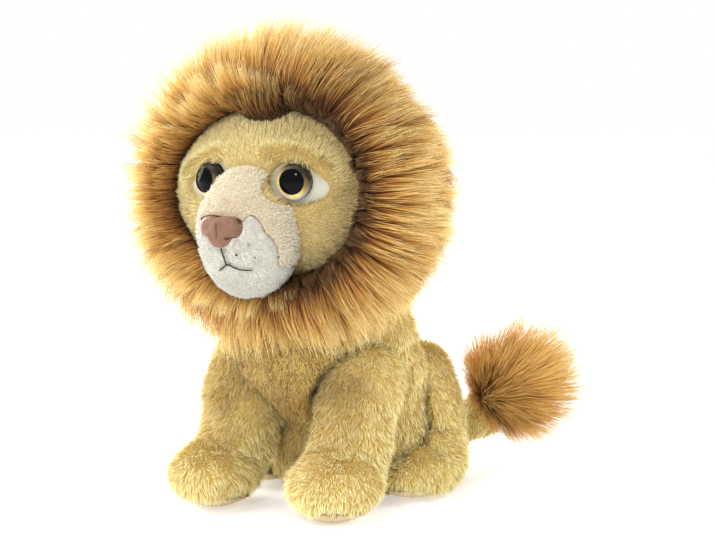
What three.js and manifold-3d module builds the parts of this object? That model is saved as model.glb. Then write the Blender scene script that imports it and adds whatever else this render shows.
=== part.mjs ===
// Sitting plush lion with a long-haired mane and tail tuft, in millimetres.
// +X is the lion's left, it looks along -Y and +Z is up. The origin is on the floor, under the seat.
import * as THREE from 'three';
import { mergeVertices } from 'three/addons/utils/BufferGeometryUtils.js';
import Module from 'manifold-3d';

const wasm = await Module();
wasm.setup();

// Clearances and cloth shared by many pieces
const fitGap = 0.3; // between sewn or seated neighbours
const floorFlat = 0.5; // depth by which a rounded paw is flattened on the floor
const coverWall = 2.2; // cloth and short pile of a sewn panel
const cutOverrun = 300; // how far a cutting solid runs past what it cuts
const turnGap = 0.6; // between forms that turn on each other

// Neck ball, on which the head and mane turn
const neckRadius = 48;
const neckY = -26;
const neckHeight = 85;

// Torso
const torsoHalfWidth = 51;
const torsoHalfDepth = 46;
const seatY = 12; // middle of the seat
// height, lean from seat to neck, width and depth of each section
const torsoShares = [
  [0, 0, 0.74, 0.76],
  [0.09, 0.03, 0.91, 0.93],
  [0.3, 0.08, 1, 1],
  [0.53, 0.2, 0.99, 0.99],
  [0.77, 0.52, 0.97, 1.01],
  [1, 1, 0.945, 1.045],
];

// Pouch of pellets that weighs the seat down
const pouchRadius = 26;
const pouchHeight = 20;

// Foreleg: shoulder that swings in the body, column and paw
const shoulderY = -33;
const shoulderHeight = 66;
const shoulderRadius = 26;
const shoulderReach = 22.5; // from the middle of the leg to either end of the shoulder
const legX = 33;
const legY = -39;
const legHalfWidth = 22;
const legHalfDepth = 22.5;
const legSwing = 15; // degrees that a foreleg lifts forward
const pawX = 36.5;
const pawY = -67.5;
const pawHalfWidth = 24.5;
const pawHalfLength = 30.5;
const pawHalfHeight = 18.5;
// height, way from leg to paw sideways and forward, width and depth of each section
const legShares = [
  [0.2, 0.8, 0.82, 0.98, 1.1],
  [0.36, 0.6, 0.6, 1.02, 1.1],
  [0.55, 0.35, 0.34, 1, 1],
  [0.86, 0.1, 0.07, 1, 1],
  [1.08, 0, 0, 0.9, 0.93],
  [1.26, 0, -0.04, 0.55, 0.6],
];

// Hind leg: haunch and foot
const haunchX = 35;
const haunchY = 23;
const haunchHeight = 36;
const haunchHalfWidth = 24.5;
const haunchHalfLength = 37;
const haunchHalfHeight = 42;
const footX = 46;
const footY = 10;
const footHalfWidth = 18.5;
const footHalfLength = 41.5;
const footHalfHeight = 15;

// Sole panels
const soleFront = 8; // height of the sole seam at the toes
const soleBack = 3; // height of the sole seam at the heel

// Head
const headHalfWidth = 67;
const headHalfDepth = 48;
const headHalfHeight = 49;
const headY = -46;
const headSink = 16; // how deep the neck ball reaches into the head

// Muzzle, measured over its sewn panels
const muzzleHalfWidth = 27;
const muzzleHalfDepth = 25.5;
const muzzleHalfHeight = 33;
const muzzleForward = 44; // from the middle of the head
const muzzleDrop = 19; // below the middle of the head
const mouthDrop = 16; // from the middle of the muzzle to the mouth seam
const lipHalfWidth = 22.6;
const lipHeight = 25.5; // mouth seam to the lip's upper point

// Nose
const noseHalfWidth = 11;
const noseHeight = 15.5;
const noseDepth = 5;
const noseLift = 1.5; // above the middle of the muzzle
const noseBevel = 1.6;

// Snap-in stems of the nose and eyes, and their washers
const stemRadius = 2.5;
const stemRib = 0.4;
const noseStem = 15;
const eyeStem = 13;
const washerRadius = 7.5;
const washerWall = 2;

// Eyes
const eyeX = 25.5;
const eyeLift = 6.5; // above the middle of the head
const eyeYaw = 14; // degrees outward
const eyeRadius = 9;
const eyeDomeHeight = 4.6;
const eyePlate = 1.3;
const pupilRadius = 5.9;
const irisWall = 0.8;
const feltWall = 1.2;
const feltRadius = 11.6; // height of the white round the eye
const feltCorner = 18; // from the eye's middle to the outer corner
const feltSink = 6; // floor of the hollow that the white lies in

// Mane: length of the hair that stands off the head
const maneSide = 22;
const maneTop = 32;
const maneDepth = 12;
const maneForward = 10;
const maneFlare = 0.8; // widening of the face opening for each millimetre forward
const faceHalfWidth = 56; // opening at its inner edge
const faceHalfHeight = 43.5;
const faceEdge = 24; // from the middle of the head forward to the inner edge
const crownFront = 14; // half width of the crown panel at the forehead
const crownBack = 46; // and at the top of the mane
const forelockHeight = 12;
const forelockDepth = 7;

// Tail
const tailRootY = 52;
const tailRootHeight = 24;
const tailRootRadius = 20;
const tailRootHalfHeight = 14.5;
const tailRadius = 11.5;
const tailReachX = 48;
const tailReachY = 34;
const tailRise = 13;
const tailDip = 5;
const tuftRadius = 37;
const tuftLength = 58;

const xAxis = new THREE.Vector3(1, 0, 0);
const yAxis = new THREE.Vector3(0, 1, 0);
const zAxis = new THREE.Vector3(0, 0, 1);
const sides = { left: 1, right: -1 };

const group = new THREE.Group();
group.name = 'plush_lion';

// Materials
function cloth(colour) {
  return new THREE.MeshStandardMaterial({ color: colour, roughness: 0.95, metalness: 0 });
}

function plastic(colour, roughness) {
  return new THREE.MeshStandardMaterial({ color: colour, roughness, metalness: 0 });
}

const bodyPlush = cloth(0xd9b972);
const facePlush = cloth(0xdfc28a);
const maneFur = cloth(0xb9853f);
const creamPlush = cloth(0xe3d3b6);
const whitePlush = cloth(0xf1efe6);
const solePlush = cloth(0xe2cfae);
const whiteFelt = cloth(0xf4f2ea);
const pouchCloth = cloth(0xe8e4da);
const rosePlastic = plastic(0xb5796a, 0.4);
const blackPlastic = plastic(0x0b0a09, 0.15);
const whitePlastic = plastic(0xe9e8e4, 0.5);
const goldFoil = new THREE.MeshStandardMaterial({ color: 0xb98a2c, roughness: 0.3, metalness: 0.6 });
const clearPlastic = new THREE.MeshStandardMaterial({
  color: 0xffffff,
  roughness: 0.03,
  metalness: 0,
  transparent: true,
  opacity: 0.3,
});

// Helpers that turn three.js geometry into closed solids and back
function signedVolume(geometry) {
  const place = geometry.getAttribute('position');
  const order = geometry.getIndex();
  const corners = [new THREE.Vector3(), new THREE.Vector3(), new THREE.Vector3()];
  let volume = 0;
  for (let i = 0; i < order.count; i += 3) {
    corners.forEach((corner, k) => corner.fromBufferAttribute(place, order.getX(i + k)));
    volume += corners[0].dot(corners[1].clone().cross(corners[2])) / 6;
  }
  return volume;
}

function closedGeometry(geometry) {
  geometry.deleteAttribute('normal');
  geometry.deleteAttribute('uv');
  const merged = mergeVertices(geometry, 1e-4);
  const order = merged.getIndex();
  const kept = [];
  for (let i = 0; i < order.count; i += 3) {
    const [a, b, c] = [order.getX(i), order.getX(i + 1), order.getX(i + 2)];
    if (a !== b && b !== c && c !== a) kept.push(a, b, c);
  }
  merged.setIndex(kept);
  if (signedVolume(merged) < 0) merged.setIndex(kept.reverse());
  return merged;
}

function toSolid(geometry) {
  const closed = closedGeometry(geometry);
  return new wasm.Manifold(new wasm.Mesh({
    numProp: 3,
    vertProperties: new Float32Array(closed.getAttribute('position').array),
    triVerts: new Uint32Array(closed.getIndex().array),
  }));
}

// Several forms placed together and made one solid
function joined(geometries, matrix) {
  const solids = geometries.map((geometry) => toSolid(geometry.applyMatrix4(matrix)));
  return solids.reduce((whole, solid) => whole.add(solid));
}

function toGeometry(solid) {
  const mesh = solid.getMesh();
  const geometry = new THREE.BufferGeometry();
  geometry.setAttribute('position', new THREE.BufferAttribute(new Float32Array(mesh.vertProperties), 3));
  geometry.setIndex(new THREE.BufferAttribute(new Uint32Array(mesh.triVerts), 1));
  geometry.computeVertexNormals();
  return geometry;
}

function addMesh(name, geometry, material, parent = group) {
  const mesh = new THREE.Mesh(geometry, material);
  mesh.name = name;
  parent.add(mesh);
  return mesh;
}

function addSolid(name, solid, material) {
  return addMesh(name, toGeometry(solid), material);
}

function ellipsoid(centre, radii, around, rings) {
  const geometry = new THREE.SphereGeometry(1, around, rings);
  geometry.rotateX(Math.PI / 2);
  geometry.scale(radii.x, radii.y, radii.z);
  geometry.translate(centre.x, centre.y, centre.z);
  return toSolid(geometry);
}

function box(low, high) {
  const size = high.clone().sub(low);
  const geometry = new THREE.BoxGeometry(size.x, size.y, size.z);
  const middle = high.clone().add(low).multiplyScalar(0.5);
  geometry.translate(middle.x, middle.y, middle.z);
  return toSolid(geometry);
}

// Turned form about +Z, through [radius, height] points
function turned(profile, around) {
  const geometry = new THREE.LatheGeometry(profile.map(([r, h]) => new THREE.Vector2(r, h)), around);
  geometry.rotateX(Math.PI / 2);
  return closedGeometry(geometry);
}

// Skin through oval sections, each with a centre and two half axes
function loft(sections, around) {
  const points = [];
  const faces = [];
  const last = sections.length - 1;
  const at = (ring, k) => ring * around + (k % around);
  for (const { centre, first, second } of sections) {
    for (let k = 0; k < around; k++) {
      const turn = (2 * Math.PI * k) / around;
      const rim = centre.clone().addScaledVector(first, Math.cos(turn));
      points.push(rim.addScaledVector(second, Math.sin(turn)));
    }
  }
  const lowPole = points.push(sections[0].centre) - 1;
  const highPole = points.push(sections[last].centre) - 1;
  for (let k = 0; k < around; k++) {
    faces.push(lowPole, at(0, k + 1), at(0, k));
    faces.push(highPole, at(last, k), at(last, k + 1));
    for (let ring = 0; ring < last; ring++) {
      faces.push(at(ring, k), at(ring, k + 1), at(ring + 1, k + 1));
      faces.push(at(ring, k), at(ring + 1, k + 1), at(ring + 1, k));
    }
  }
  const geometry = new THREE.BufferGeometry().setFromPoints(points);
  geometry.setIndex(faces);
  return geometry;
}

// Smooth rows of numbers through the rows of a table of shares
function smoothRows(rows, count) {
  const columns = rows[0].map((_, column) => {
    const knots = rows.map((row, i) => new THREE.Vector3(i, row[column], 0));
    return new THREE.CatmullRomCurve3(knots, false, 'catmullrom', 0.5);
  });
  return Array.from({ length: count }, (_, i) => columns.map((column) => column.getPoint(i / (count - 1)).y));
}

// Everything above the floor
function aboveFloor(solid) {
  const low = new THREE.Vector3(-cutOverrun, -cutOverrun, 0);
  return solid.intersect(box(low, new THREE.Vector3(cutOverrun, cutOverrun, cutOverrun)));
}

// Neck ball
const neck = new THREE.Vector3(0, neckY, neckHeight);

function neckBall(extra) {
  const radius = neckRadius + extra;
  return ellipsoid(neck, new THREE.Vector3(radius, radius, radius), 20, 11);
}

// Torso, with its flat seat
function torsoForm(extra) {
  const sections = smoothRows(torsoShares, 8).map(([height, lean, width, depth]) => ({
    centre: new THREE.Vector3(0, THREE.MathUtils.lerp(seatY, neckY, lean), height * neckHeight),
    first: xAxis.clone().multiplyScalar(torsoHalfWidth * width + extra),
    second: yAxis.clone().multiplyScalar(torsoHalfDepth * depth + extra),
  }));
  return toSolid(loft(sections, 20)).add(neckBall(extra));
}

// Foreleg parts
function shoulderForm(side, extra) {
  const geometry = new THREE.SphereGeometry(1, 18, 6);
  geometry.rotateZ(Math.PI / 2);
  geometry.scale(shoulderReach + extra, shoulderRadius + extra, shoulderRadius + extra);
  geometry.translate(side * legX, shoulderY, shoulderHeight);
  return toSolid(geometry);
}

function legColumn(side, extra, swing) {
  const sections = smoothRows(legShares, 7).map(([height, across, forward, width, depth]) => ({
    centre: new THREE.Vector3(
      side * THREE.MathUtils.lerp(legX, pawX, across),
      THREE.MathUtils.lerp(legY, pawY, forward),
      height * shoulderHeight,
    ),
    first: xAxis.clone().multiplyScalar(legHalfWidth * width + extra),
    second: yAxis.clone().multiplyScalar(legHalfDepth * depth + extra),
  }));
  const geometry = loft(sections, 16);
  geometry.translate(0, -shoulderY, -shoulderHeight);
  geometry.rotateX(-THREE.MathUtils.degToRad(swing));
  geometry.translate(0, shoulderY, shoulderHeight);
  return toSolid(geometry);
}

function pawForm(side) {
  const centre = new THREE.Vector3(side * pawX, pawY, pawHalfHeight - floorFlat);
  return ellipsoid(centre, new THREE.Vector3(pawHalfWidth, pawHalfLength, pawHalfHeight), 18, 9);
}

// Room that a foreleg takes in the torso as it lifts
function legPocket(side) {
  return shoulderForm(side, turnGap)
    .add(legColumn(side, fitGap, 0))
    .add(legColumn(side, 2 * fitGap, legSwing / 2))
    .add(legColumn(side, fitGap, legSwing));
}

// Tail root: a form turned about the upright line that the tail swings on
function tailRoot(extra) {
  const centre = new THREE.Vector3(0, tailRootY, tailRootHeight);
  const radius = tailRootRadius + extra;
  return ellipsoid(centre, new THREE.Vector3(radius, radius, tailRootHalfHeight + extra), 18, 6);
}

// Domed pouch that lies on the seat panel
function pouchForm(extra) {
  const steps = 5;
  const profile = [[0, -extra], [pouchRadius + extra, -extra]];
  for (let i = 0; i < steps; i++) {
    const turn = (Math.PI / 2) * (i / steps);
    profile.push([(pouchRadius + extra) * Math.cos(turn), (pouchHeight + extra) * Math.sin(turn)]);
  }
  profile.push([0, pouchHeight + extra]);
  return turned(profile, 16).translate(0, seatY, coverWall + fitGap);
}

function makeTorso() {
  const seatCut = coverWall + fitGap;
  const low = new THREE.Vector3(-cutOverrun, -cutOverrun, -cutOverrun);
  const underSeat = box(low, new THREE.Vector3(cutOverrun, cutOverrun, seatCut));
  const torso = torsoForm(0)
    .subtract(legPocket(sides.left))
    .subtract(legPocket(sides.right))
    .subtract(tailRoot(turnGap))
    .subtract(toSolid(pouchForm(fitGap)))
    .subtract(underSeat);
  addSolid('torso', torso, bodyPlush);
}

function makeSeat() {
  const low = new THREE.Vector3(-cutOverrun, -cutOverrun, 0);
  const slice = box(low, new THREE.Vector3(cutOverrun, cutOverrun, coverWall));
  addSolid('seat_panel', torsoForm(0).intersect(slice), solePlush);
  addMesh('pellet_pouch', pouchForm(0), pouchCloth);
}

// Wedge below the sole seam, which climbs from heel to toes
function soleWedge(toeY, heelY, extra) {
  const outline = new THREE.Shape([
    new THREE.Vector2(toeY - soleFront, -cutOverrun),
    new THREE.Vector2(heelY + soleFront, -cutOverrun),
    new THREE.Vector2(heelY + soleFront, soleBack + extra),
    new THREE.Vector2(heelY, soleBack + extra),
    new THREE.Vector2(toeY, soleFront + extra),
    new THREE.Vector2(toeY - soleFront, soleFront + extra),
  ]);
  const geometry = new THREE.ExtrudeGeometry(outline, { depth: 2 * cutOverrun, bevelEnabled: false });
  geometry.translate(0, 0, -cutOverrun);
  geometry.rotateY(Math.PI / 2);
  geometry.rotateX(Math.PI / 2);
  return toSolid(geometry);
}

function makeForeleg(sideName) {
  const side = sides[sideName];
  const toe = pawY - pawHalfLength;
  const heel = pawY + pawHalfLength;
  const paw = aboveFloor(pawForm(side));
  const leg = paw.add(legColumn(side, 0, 0)).add(shoulderForm(side, 0));
  addSolid(`foreleg_${sideName}`, leg.subtract(soleWedge(toe, heel, fitGap)), bodyPlush);
  addSolid(`forepaw_sole_${sideName}`, paw.intersect(soleWedge(toe, heel, 0)), solePlush);
}

function footForm(side) {
  const centre = new THREE.Vector3(side * footX, footY, footHalfHeight - floorFlat);
  return ellipsoid(centre, new THREE.Vector3(footHalfWidth, footHalfLength, footHalfHeight), 18, 8);
}

function makeHindLeg(sideName) {
  const side = sides[sideName];
  const toe = footY - footHalfLength;
  const heel = footY + footHalfLength;
  const haunchCentre = new THREE.Vector3(side * haunchX, haunchY, haunchHeight);
  const haunchRadii = new THREE.Vector3(haunchHalfWidth, haunchHalfLength, haunchHalfHeight);
  const hold = torsoForm(fitGap).add(tailRoot(turnGap));
  const foot = aboveFloor(footForm(side).subtract(hold));
  const haunch = ellipsoid(haunchCentre, haunchRadii, 20, 10).subtract(hold);
  const leg = aboveFloor(haunch).add(foot);
  addSolid(`hind_leg_${sideName}`, leg.subtract(soleWedge(toe, heel, fitGap)), bodyPlush);
  addSolid(`hind_sole_${sideName}`, foot.intersect(soleWedge(toe, heel, 0)), solePlush);
}

// Head and muzzle
const headCentre = new THREE.Vector3(0, headY, neckHeight + neckRadius + headHalfHeight - headSink);
const muzzleCentre = headCentre.clone().add(new THREE.Vector3(0, -muzzleForward, -muzzleDrop));

function headForm(extra) {
  const radii = new THREE.Vector3(headHalfWidth + extra, headHalfDepth + extra, headHalfHeight + extra);
  return ellipsoid(headCentre, radii, 24, 12);
}

function muzzleForm(extra) {
  const radii = new THREE.Vector3(muzzleHalfWidth + extra, muzzleHalfDepth + extra, muzzleHalfHeight + extra);
  return ellipsoid(muzzleCentre, radii, 18, 10);
}

// Seat of each eye: its own +Z looks out of the head, and its +Y is up
function eyeMatrix(side) {
  const across = eyeX / headHalfWidth;
  const up = eyeLift / headHalfHeight;
  const depth = headHalfDepth * Math.sqrt(1 - across * across - up * up);
  const yaw = THREE.MathUtils.degToRad(eyeYaw);
  const outward = new THREE.Vector3(side * Math.sin(yaw), -Math.cos(yaw), 0);
  const place = headCentre.clone().add(new THREE.Vector3(side * eyeX, -depth, eyeLift));
  const turn = new THREE.Matrix4().makeBasis(zAxis.clone().cross(outward), zAxis, outward);
  return turn.setPosition(place.addScaledVector(outward, -feltSink));
}

// Almond outline of the white of an eye, seen along the eye's axis; its corner points outward
function feltOutline(side, extra) {
  const tall = feltRadius + extra;
  const outer = side * (feltCorner + extra);
  const inner = -0.78 * outer;
  const shape = new THREE.Shape();
  shape.moveTo(outer, -0.3 * tall);
  shape.bezierCurveTo(0.9 * outer, 0.25 * tall, 0.45 * outer, tall, 0, tall);
  shape.bezierCurveTo(0.54 * inner, tall, inner, 0.5 * tall, inner, -0.1 * tall);
  shape.bezierCurveTo(inner, -0.75 * tall, 0.5 * inner, -tall, 0, -tall);
  shape.bezierCurveTo(0.4 * outer, -tall, 0.95 * outer, -0.85 * tall, outer, -0.3 * tall);
  return shape;
}

function feltPlate(side, extra, back, front) {
  const geometry = new THREE.ExtrudeGeometry(feltOutline(side, extra), {
    depth: front - back,
    bevelEnabled: false,
    curveSegments: 4,
  });
  geometry.translate(0, 0, back);
  return geometry;
}

function rod(radius, back, front) {
  return turned([[0, back], [radius, back], [radius, front], [0, front]], 12);
}

// Room in the head for the white of the eye, its stem and the washer
function eyeRoom(side) {
  const washerFront = -coverWall;
  const washerBack = washerFront - washerWall - 2 * fitGap;
  const hollow = feltPlate(side, fitGap, 0, feltSink + headHalfDepth);
  const bore = rod(stemRadius + stemRib + fitGap, -eyeStem - fitGap, fitGap);
  const pocket = rod(washerRadius + fitGap, washerBack, washerFront);
  return joined([hollow, bore, pocket], eyeMatrix(side));
}

// Stem with three snap ribs, from a plate backwards
function stemProfile(front, length) {
  const pitch = length / 6;
  const back = front - length;
  const profile = [[0, back], [stemRadius - stemRib, back]];
  for (let rib = 0; rib < 3; rib++) {
    const level = back + pitch * (rib + 0.5);
    profile.push([stemRadius - stemRib, level], [stemRadius, level + pitch / 2]);
  }
  profile.push([stemRadius - stemRib, back + pitch * 3.4], [stemRadius - stemRib, front]);
  return profile;
}

function washerGeometry(front) {
  const hole = stemRadius + stemRib + fitGap / 2;
  return turned([
    [hole, front - washerWall],
    [washerRadius, front - washerWall],
    [washerRadius, front - washerWall / 2],
    [hole + washerWall, front],
    [hole, front],
    [hole, front - washerWall],
  ], 16);
}

function makeEye(sideName) {
  const side = sides[sideName];
  const socket = new THREE.Group();
  socket.applyMatrix4(eyeMatrix(side));
  group.add(socket);

  const felt = toSolid(feltPlate(side, 0, fitGap, fitGap + feltWall));
  const bore = toSolid(rod(stemRadius + stemRib + fitGap, -eyeStem, eyeStem));
  addMesh(`eye_white_${sideName}`, toGeometry(felt.subtract(bore)), whiteFelt, socket);

  const plateBack = feltWall + 2 * fitGap;
  const plateFront = plateBack + eyePlate;
  const bossFront = plateFront + fitGap + irisWall;
  const post = stemProfile(plateBack, eyeStem - plateBack);
  post.push([eyeRadius, plateBack], [eyeRadius, plateFront], [pupilRadius, plateFront]);
  post.push([pupilRadius, bossFront], [0, bossFront]);
  addMesh(`eye_post_${sideName}`, turned(post, 20), blackPlastic, socket);

  const ringInner = pupilRadius + fitGap;
  const ringBack = plateFront + fitGap;
  const ring = [[ringInner, ringBack], [eyeRadius, ringBack], [eyeRadius, bossFront], [ringInner, bossFront]];
  addMesh(`iris_ring_${sideName}`, turned([...ring, ring[0]], 20), goldFoil, socket);

  const domeBack = bossFront + fitGap;
  const domeRim = domeBack + irisWall;
  const domeSteps = 6;
  const dome = [[0, domeBack], [eyeRadius, domeBack]];
  for (let i = 0; i < domeSteps; i++) {
    const turn = (Math.PI / 2) * (i / domeSteps);
    dome.push([eyeRadius * Math.cos(turn), domeRim + eyeDomeHeight * Math.sin(turn)]);
  }
  dome.push([0, domeRim + eyeDomeHeight]);
  addMesh(`eye_dome_${sideName}`, turned(dome, 20), clearPlastic, socket);

  addMesh(`eye_washer_${sideName}`, washerGeometry(-coverWall - fitGap), whitePlastic, socket);
}

// Nose: moulded block with two lobes, a middle ridge and nostril notches
const noseCentre = muzzleCentre.clone().add(new THREE.Vector3(0, 0, noseLift));
// across and up, for the left half of the nose from its top middle to its bottom middle
const noseShares = [
  [0, 0.43],
  [0.45, 0.5],
  [0.88, 0.42],
  [1, 0.14],
  [0.86, -0.1],
  [0.56, -0.14],
  [0.42, -0.28],
  [0.24, -0.44],
  [0, -0.5],
];

// The nose's own +Z looks out of the muzzle from its surface, and its +Y is up
function noseMatrix() {
  const turn = new THREE.Matrix4().makeBasis(xAxis, zAxis, yAxis.clone().negate());
  return turn.setPosition(noseCentre.clone().add(new THREE.Vector3(0, -muzzleHalfDepth, 0)));
}

function noseOutline() {
  const wide = noseHalfWidth - noseBevel;
  const tall = noseHeight - 2 * noseBevel;
  const left = noseShares.map(([across, up]) => new THREE.Vector2(across * wide, up * tall));
  const right = left.slice(1, -1).reverse().map((point) => new THREE.Vector2(-point.x, point.y));
  const shape = new THREE.Shape();
  shape.moveTo(left[0].x, left[0].y);
  shape.splineThru([...left.slice(1), ...right, left[0].clone()]);
  return shape;
}

// Rounded block whose face bends back with the muzzle
function noseBlock() {
  const deep = 2 * noseDepth;
  const geometry = new THREE.ExtrudeGeometry(noseOutline(), {
    depth: deep,
    bevelSize: noseBevel,
    bevelThickness: noseBevel,
    bevelSegments: 2,
    curveSegments: 2,
  });
  geometry.translate(0, 0, noseDepth - noseBevel - deep);
  const place = geometry.getAttribute('position');
  for (let i = 0; i < place.count; i++) {
    const across = place.getX(i) ** 2 / (2 * muzzleHalfWidth);
    const up = place.getY(i) ** 2 / (4 * muzzleHalfHeight);
    place.setZ(i, place.getZ(i) - across - up);
  }
  return geometry;
}

function noseBore() {
  return rod(stemRadius + stemRib + fitGap, -noseStem - fitGap, noseDepth);
}

// The washer lies behind the cover, which curves away round the nose
function noseWasherFront() {
  const bulge = muzzleHalfDepth * (1 - Math.sqrt(1 - (washerRadius / (muzzleHalfWidth - coverWall)) ** 2));
  return -coverWall - fitGap - bulge;
}

function makeNose() {
  const face = noseCentre.clone().add(new THREE.Vector3(0, -muzzleHalfDepth - noseDepth, 0));
  const ridgeCentre = face.clone().add(new THREE.Vector3(0, noseBevel / 2, noseBevel / 2));
  const ridge = ellipsoid(ridgeCentre, new THREE.Vector3(noseBevel / 3, noseBevel, noseHeight / 3), 8, 5);
  let nose = joined([noseBlock()], noseMatrix()).add(ridge);
  for (const side of Object.values(sides)) {
    const place = new THREE.Vector3(0.66 * side * noseHalfWidth, noseBevel, -0.19 * noseHeight).add(face);
    const size = new THREE.Vector3(0.28 * noseHalfWidth, 2.6 * noseBevel, 0.08 * noseHeight);
    nose = nose.subtract(ellipsoid(place, size, 8, 5));
  }
  const stem = turned([...stemProfile(noseBevel, noseStem + noseBevel), [0, noseBevel]], 16);
  nose = nose.subtract(muzzleForm(fitGap)).add(joined([stem], noseMatrix()));
  addSolid('nose', nose, rosePlastic);

  const washer = washerGeometry(noseWasherFront()).applyMatrix4(noseMatrix());
  addMesh('nose_washer', washer, whitePlastic);
}

// Outline of both lips, seen from the front: two rounded peaks over a level mouth seam
function lipOutline(extra) {
  const low = -mouthDrop - extra;
  const wide = lipHalfWidth + extra;
  const high = lipHeight - mouthDrop + extra;
  const bulge = 0.42 * lipHeight - mouthDrop;
  const notch = 0.7 * lipHeight - mouthDrop + extra;
  const shape = new THREE.Shape();
  shape.moveTo(-0.93 * wide, low);
  shape.lineTo(0.93 * wide, low);
  shape.quadraticCurveTo(1.1 * wide, bulge, 0.84 * wide, notch);
  shape.quadraticCurveTo(0.72 * wide, high, 0.56 * wide, high);
  shape.quadraticCurveTo(0.34 * wide, notch, 0, notch);
  shape.quadraticCurveTo(-0.34 * wide, notch, -0.56 * wide, high);
  shape.quadraticCurveTo(-0.72 * wide, high, -0.84 * wide, notch);
  shape.quadraticCurveTo(-1.1 * wide, bulge, -0.93 * wide, low);
  return shape;
}

function lipCutter(extra) {
  const geometry = new THREE.ExtrudeGeometry(lipOutline(extra), {
    depth: 2 * muzzleHalfDepth,
    bevelEnabled: false,
    curveSegments: 4,
  });
  geometry.rotateX(Math.PI / 2);
  geometry.translate(0, muzzleCentre.y, muzzleCentre.z);
  return toSolid(geometry);
}

// Everything on one side of the middle seam
function halfSpace(side) {
  const near = new THREE.Vector3(side * (fitGap / 2), -cutOverrun, -cutOverrun);
  const far = new THREE.Vector3(side * cutOverrun, cutOverrun, cutOverrun);
  return box(near.clone().min(far), near.clone().max(far));
}

function makeMuzzle() {
  const cover = muzzleForm(0)
    .subtract(muzzleForm(-coverWall))
    .subtract(headForm(fitGap))
    .subtract(eyeRoom(sides.left))
    .subtract(eyeRoom(sides.right))
    .subtract(joined([noseBore()], noseMatrix()));
  const seam = muzzleCentre.z - mouthDrop;
  const low = new THREE.Vector3(-cutOverrun, -cutOverrun, -cutOverrun);
  const belowMouth = box(low, new THREE.Vector3(cutOverrun, cutOverrun, seam - fitGap));
  const underMouth = box(low, new THREE.Vector3(cutOverrun, cutOverrun, seam));
  addSolid('chin', cover.intersect(belowMouth), whitePlush);
  addSolid('muzzle_bridge', cover.subtract(underMouth).subtract(lipCutter(fitGap)), creamPlush);
  const lips = cover.intersect(lipCutter(0));
  for (const [sideName, side] of Object.entries(sides)) {
    addSolid(`lip_${sideName}`, lips.intersect(halfSpace(side)), whitePlush);
  }
}

function makeHead() {
  const pocketBack = noseWasherFront() - washerWall - fitGap;
  const nosePocket = rod(washerRadius + fitGap, pocketBack, 0);
  const head = headForm(0)
    .add(muzzleForm(-coverWall - fitGap))
    .subtract(neckBall(turnGap))
    .subtract(eyeRoom(sides.left))
    .subtract(eyeRoom(sides.right))
    .subtract(joined([noseBore(), nosePocket], noseMatrix()));
  addSolid('head', head, facePlush);
}

// Mane: a ball of hair round the head, open over the face, in three sewn parts
const maneCentre = headCentre.clone().add(new THREE.Vector3(0, -maneForward, 0));

// Way into the mane that widens forward
function faceOpening() {
  const backY = headY - faceEdge;
  const length = maneForward + headHalfDepth + maneDepth;
  const sections = [backY + length, backY - length].map((y) => {
    const widen = maneFlare * (backY - y);
    return {
      centre: new THREE.Vector3(0, y, headCentre.z),
      first: zAxis.clone().multiplyScalar(faceHalfHeight + widen),
      second: xAxis.clone().multiplyScalar(faceHalfWidth + widen),
    };
  });
  return toSolid(loft(sections, 22));
}

function maneForm() {
  const radii = new THREE.Vector3(
    headHalfWidth + maneSide,
    headHalfDepth + maneDepth,
    headHalfHeight + maneTop,
  );
  const peakY = headY - 0.6 * headHalfDepth;
  const openingTop = faceHalfHeight + maneFlare * (headY - faceEdge - peakY);
  const peak = new THREE.Vector3(0, peakY, headCentre.z + openingTop - 0.6 * forelockHeight);
  const forelock = ellipsoid(peak, new THREE.Vector3(crownFront, forelockDepth, forelockHeight), 12, 6);
  return ellipsoid(maneCentre, radii, 22, 12)
    .subtract(faceOpening())
    .add(forelock)
    .subtract(headForm(fitGap))
    .subtract(muzzleForm(fitGap))
    .subtract(neckBall(turnGap));
}

// The crown panel widens from the forehead to the top of the mane
function crownCutter(extra) {
  const low = headCentre.z;
  const high = headCentre.z + headHalfHeight + maneTop;
  const outline = new THREE.Shape([
    new THREE.Vector2(-crownFront - extra, low - extra),
    new THREE.Vector2(crownFront + extra, low - extra),
    new THREE.Vector2(crownBack + extra, high + extra),
    new THREE.Vector2(-crownBack - extra, high + extra),
  ]);
  const geometry = new THREE.ExtrudeGeometry(outline, { depth: 2 * cutOverrun, bevelEnabled: false });
  geometry.translate(0, 0, -cutOverrun);
  geometry.rotateX(Math.PI / 2);
  return toSolid(geometry);
}

function makeMane() {
  const mane = maneForm();
  addSolid('mane_crown', mane.intersect(crownCutter(0)), maneFur);
  const rest = mane.subtract(crownCutter(fitGap));
  for (const [sideName, side] of Object.entries(sides)) {
    addSolid(`mane_${sideName}`, rest.intersect(halfSpace(side)), maneFur);
  }
}

// Tail, curving round to the left with its tuft held up
function tailPath() {
  return new THREE.CatmullRomCurve3([
    new THREE.Vector3(0, tailRootY, tailRootHeight),
    new THREE.Vector3(0.3 * tailReachX, tailRootY + 0.68 * tailReachY, tailRootHeight - tailDip),
    new THREE.Vector3(0.66 * tailReachX, tailRootY + 0.97 * tailReachY, tailRootHeight),
    new THREE.Vector3(tailReachX, tailRootY + tailReachY, tailRootHeight + tailRise),
  ]);
}

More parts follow.
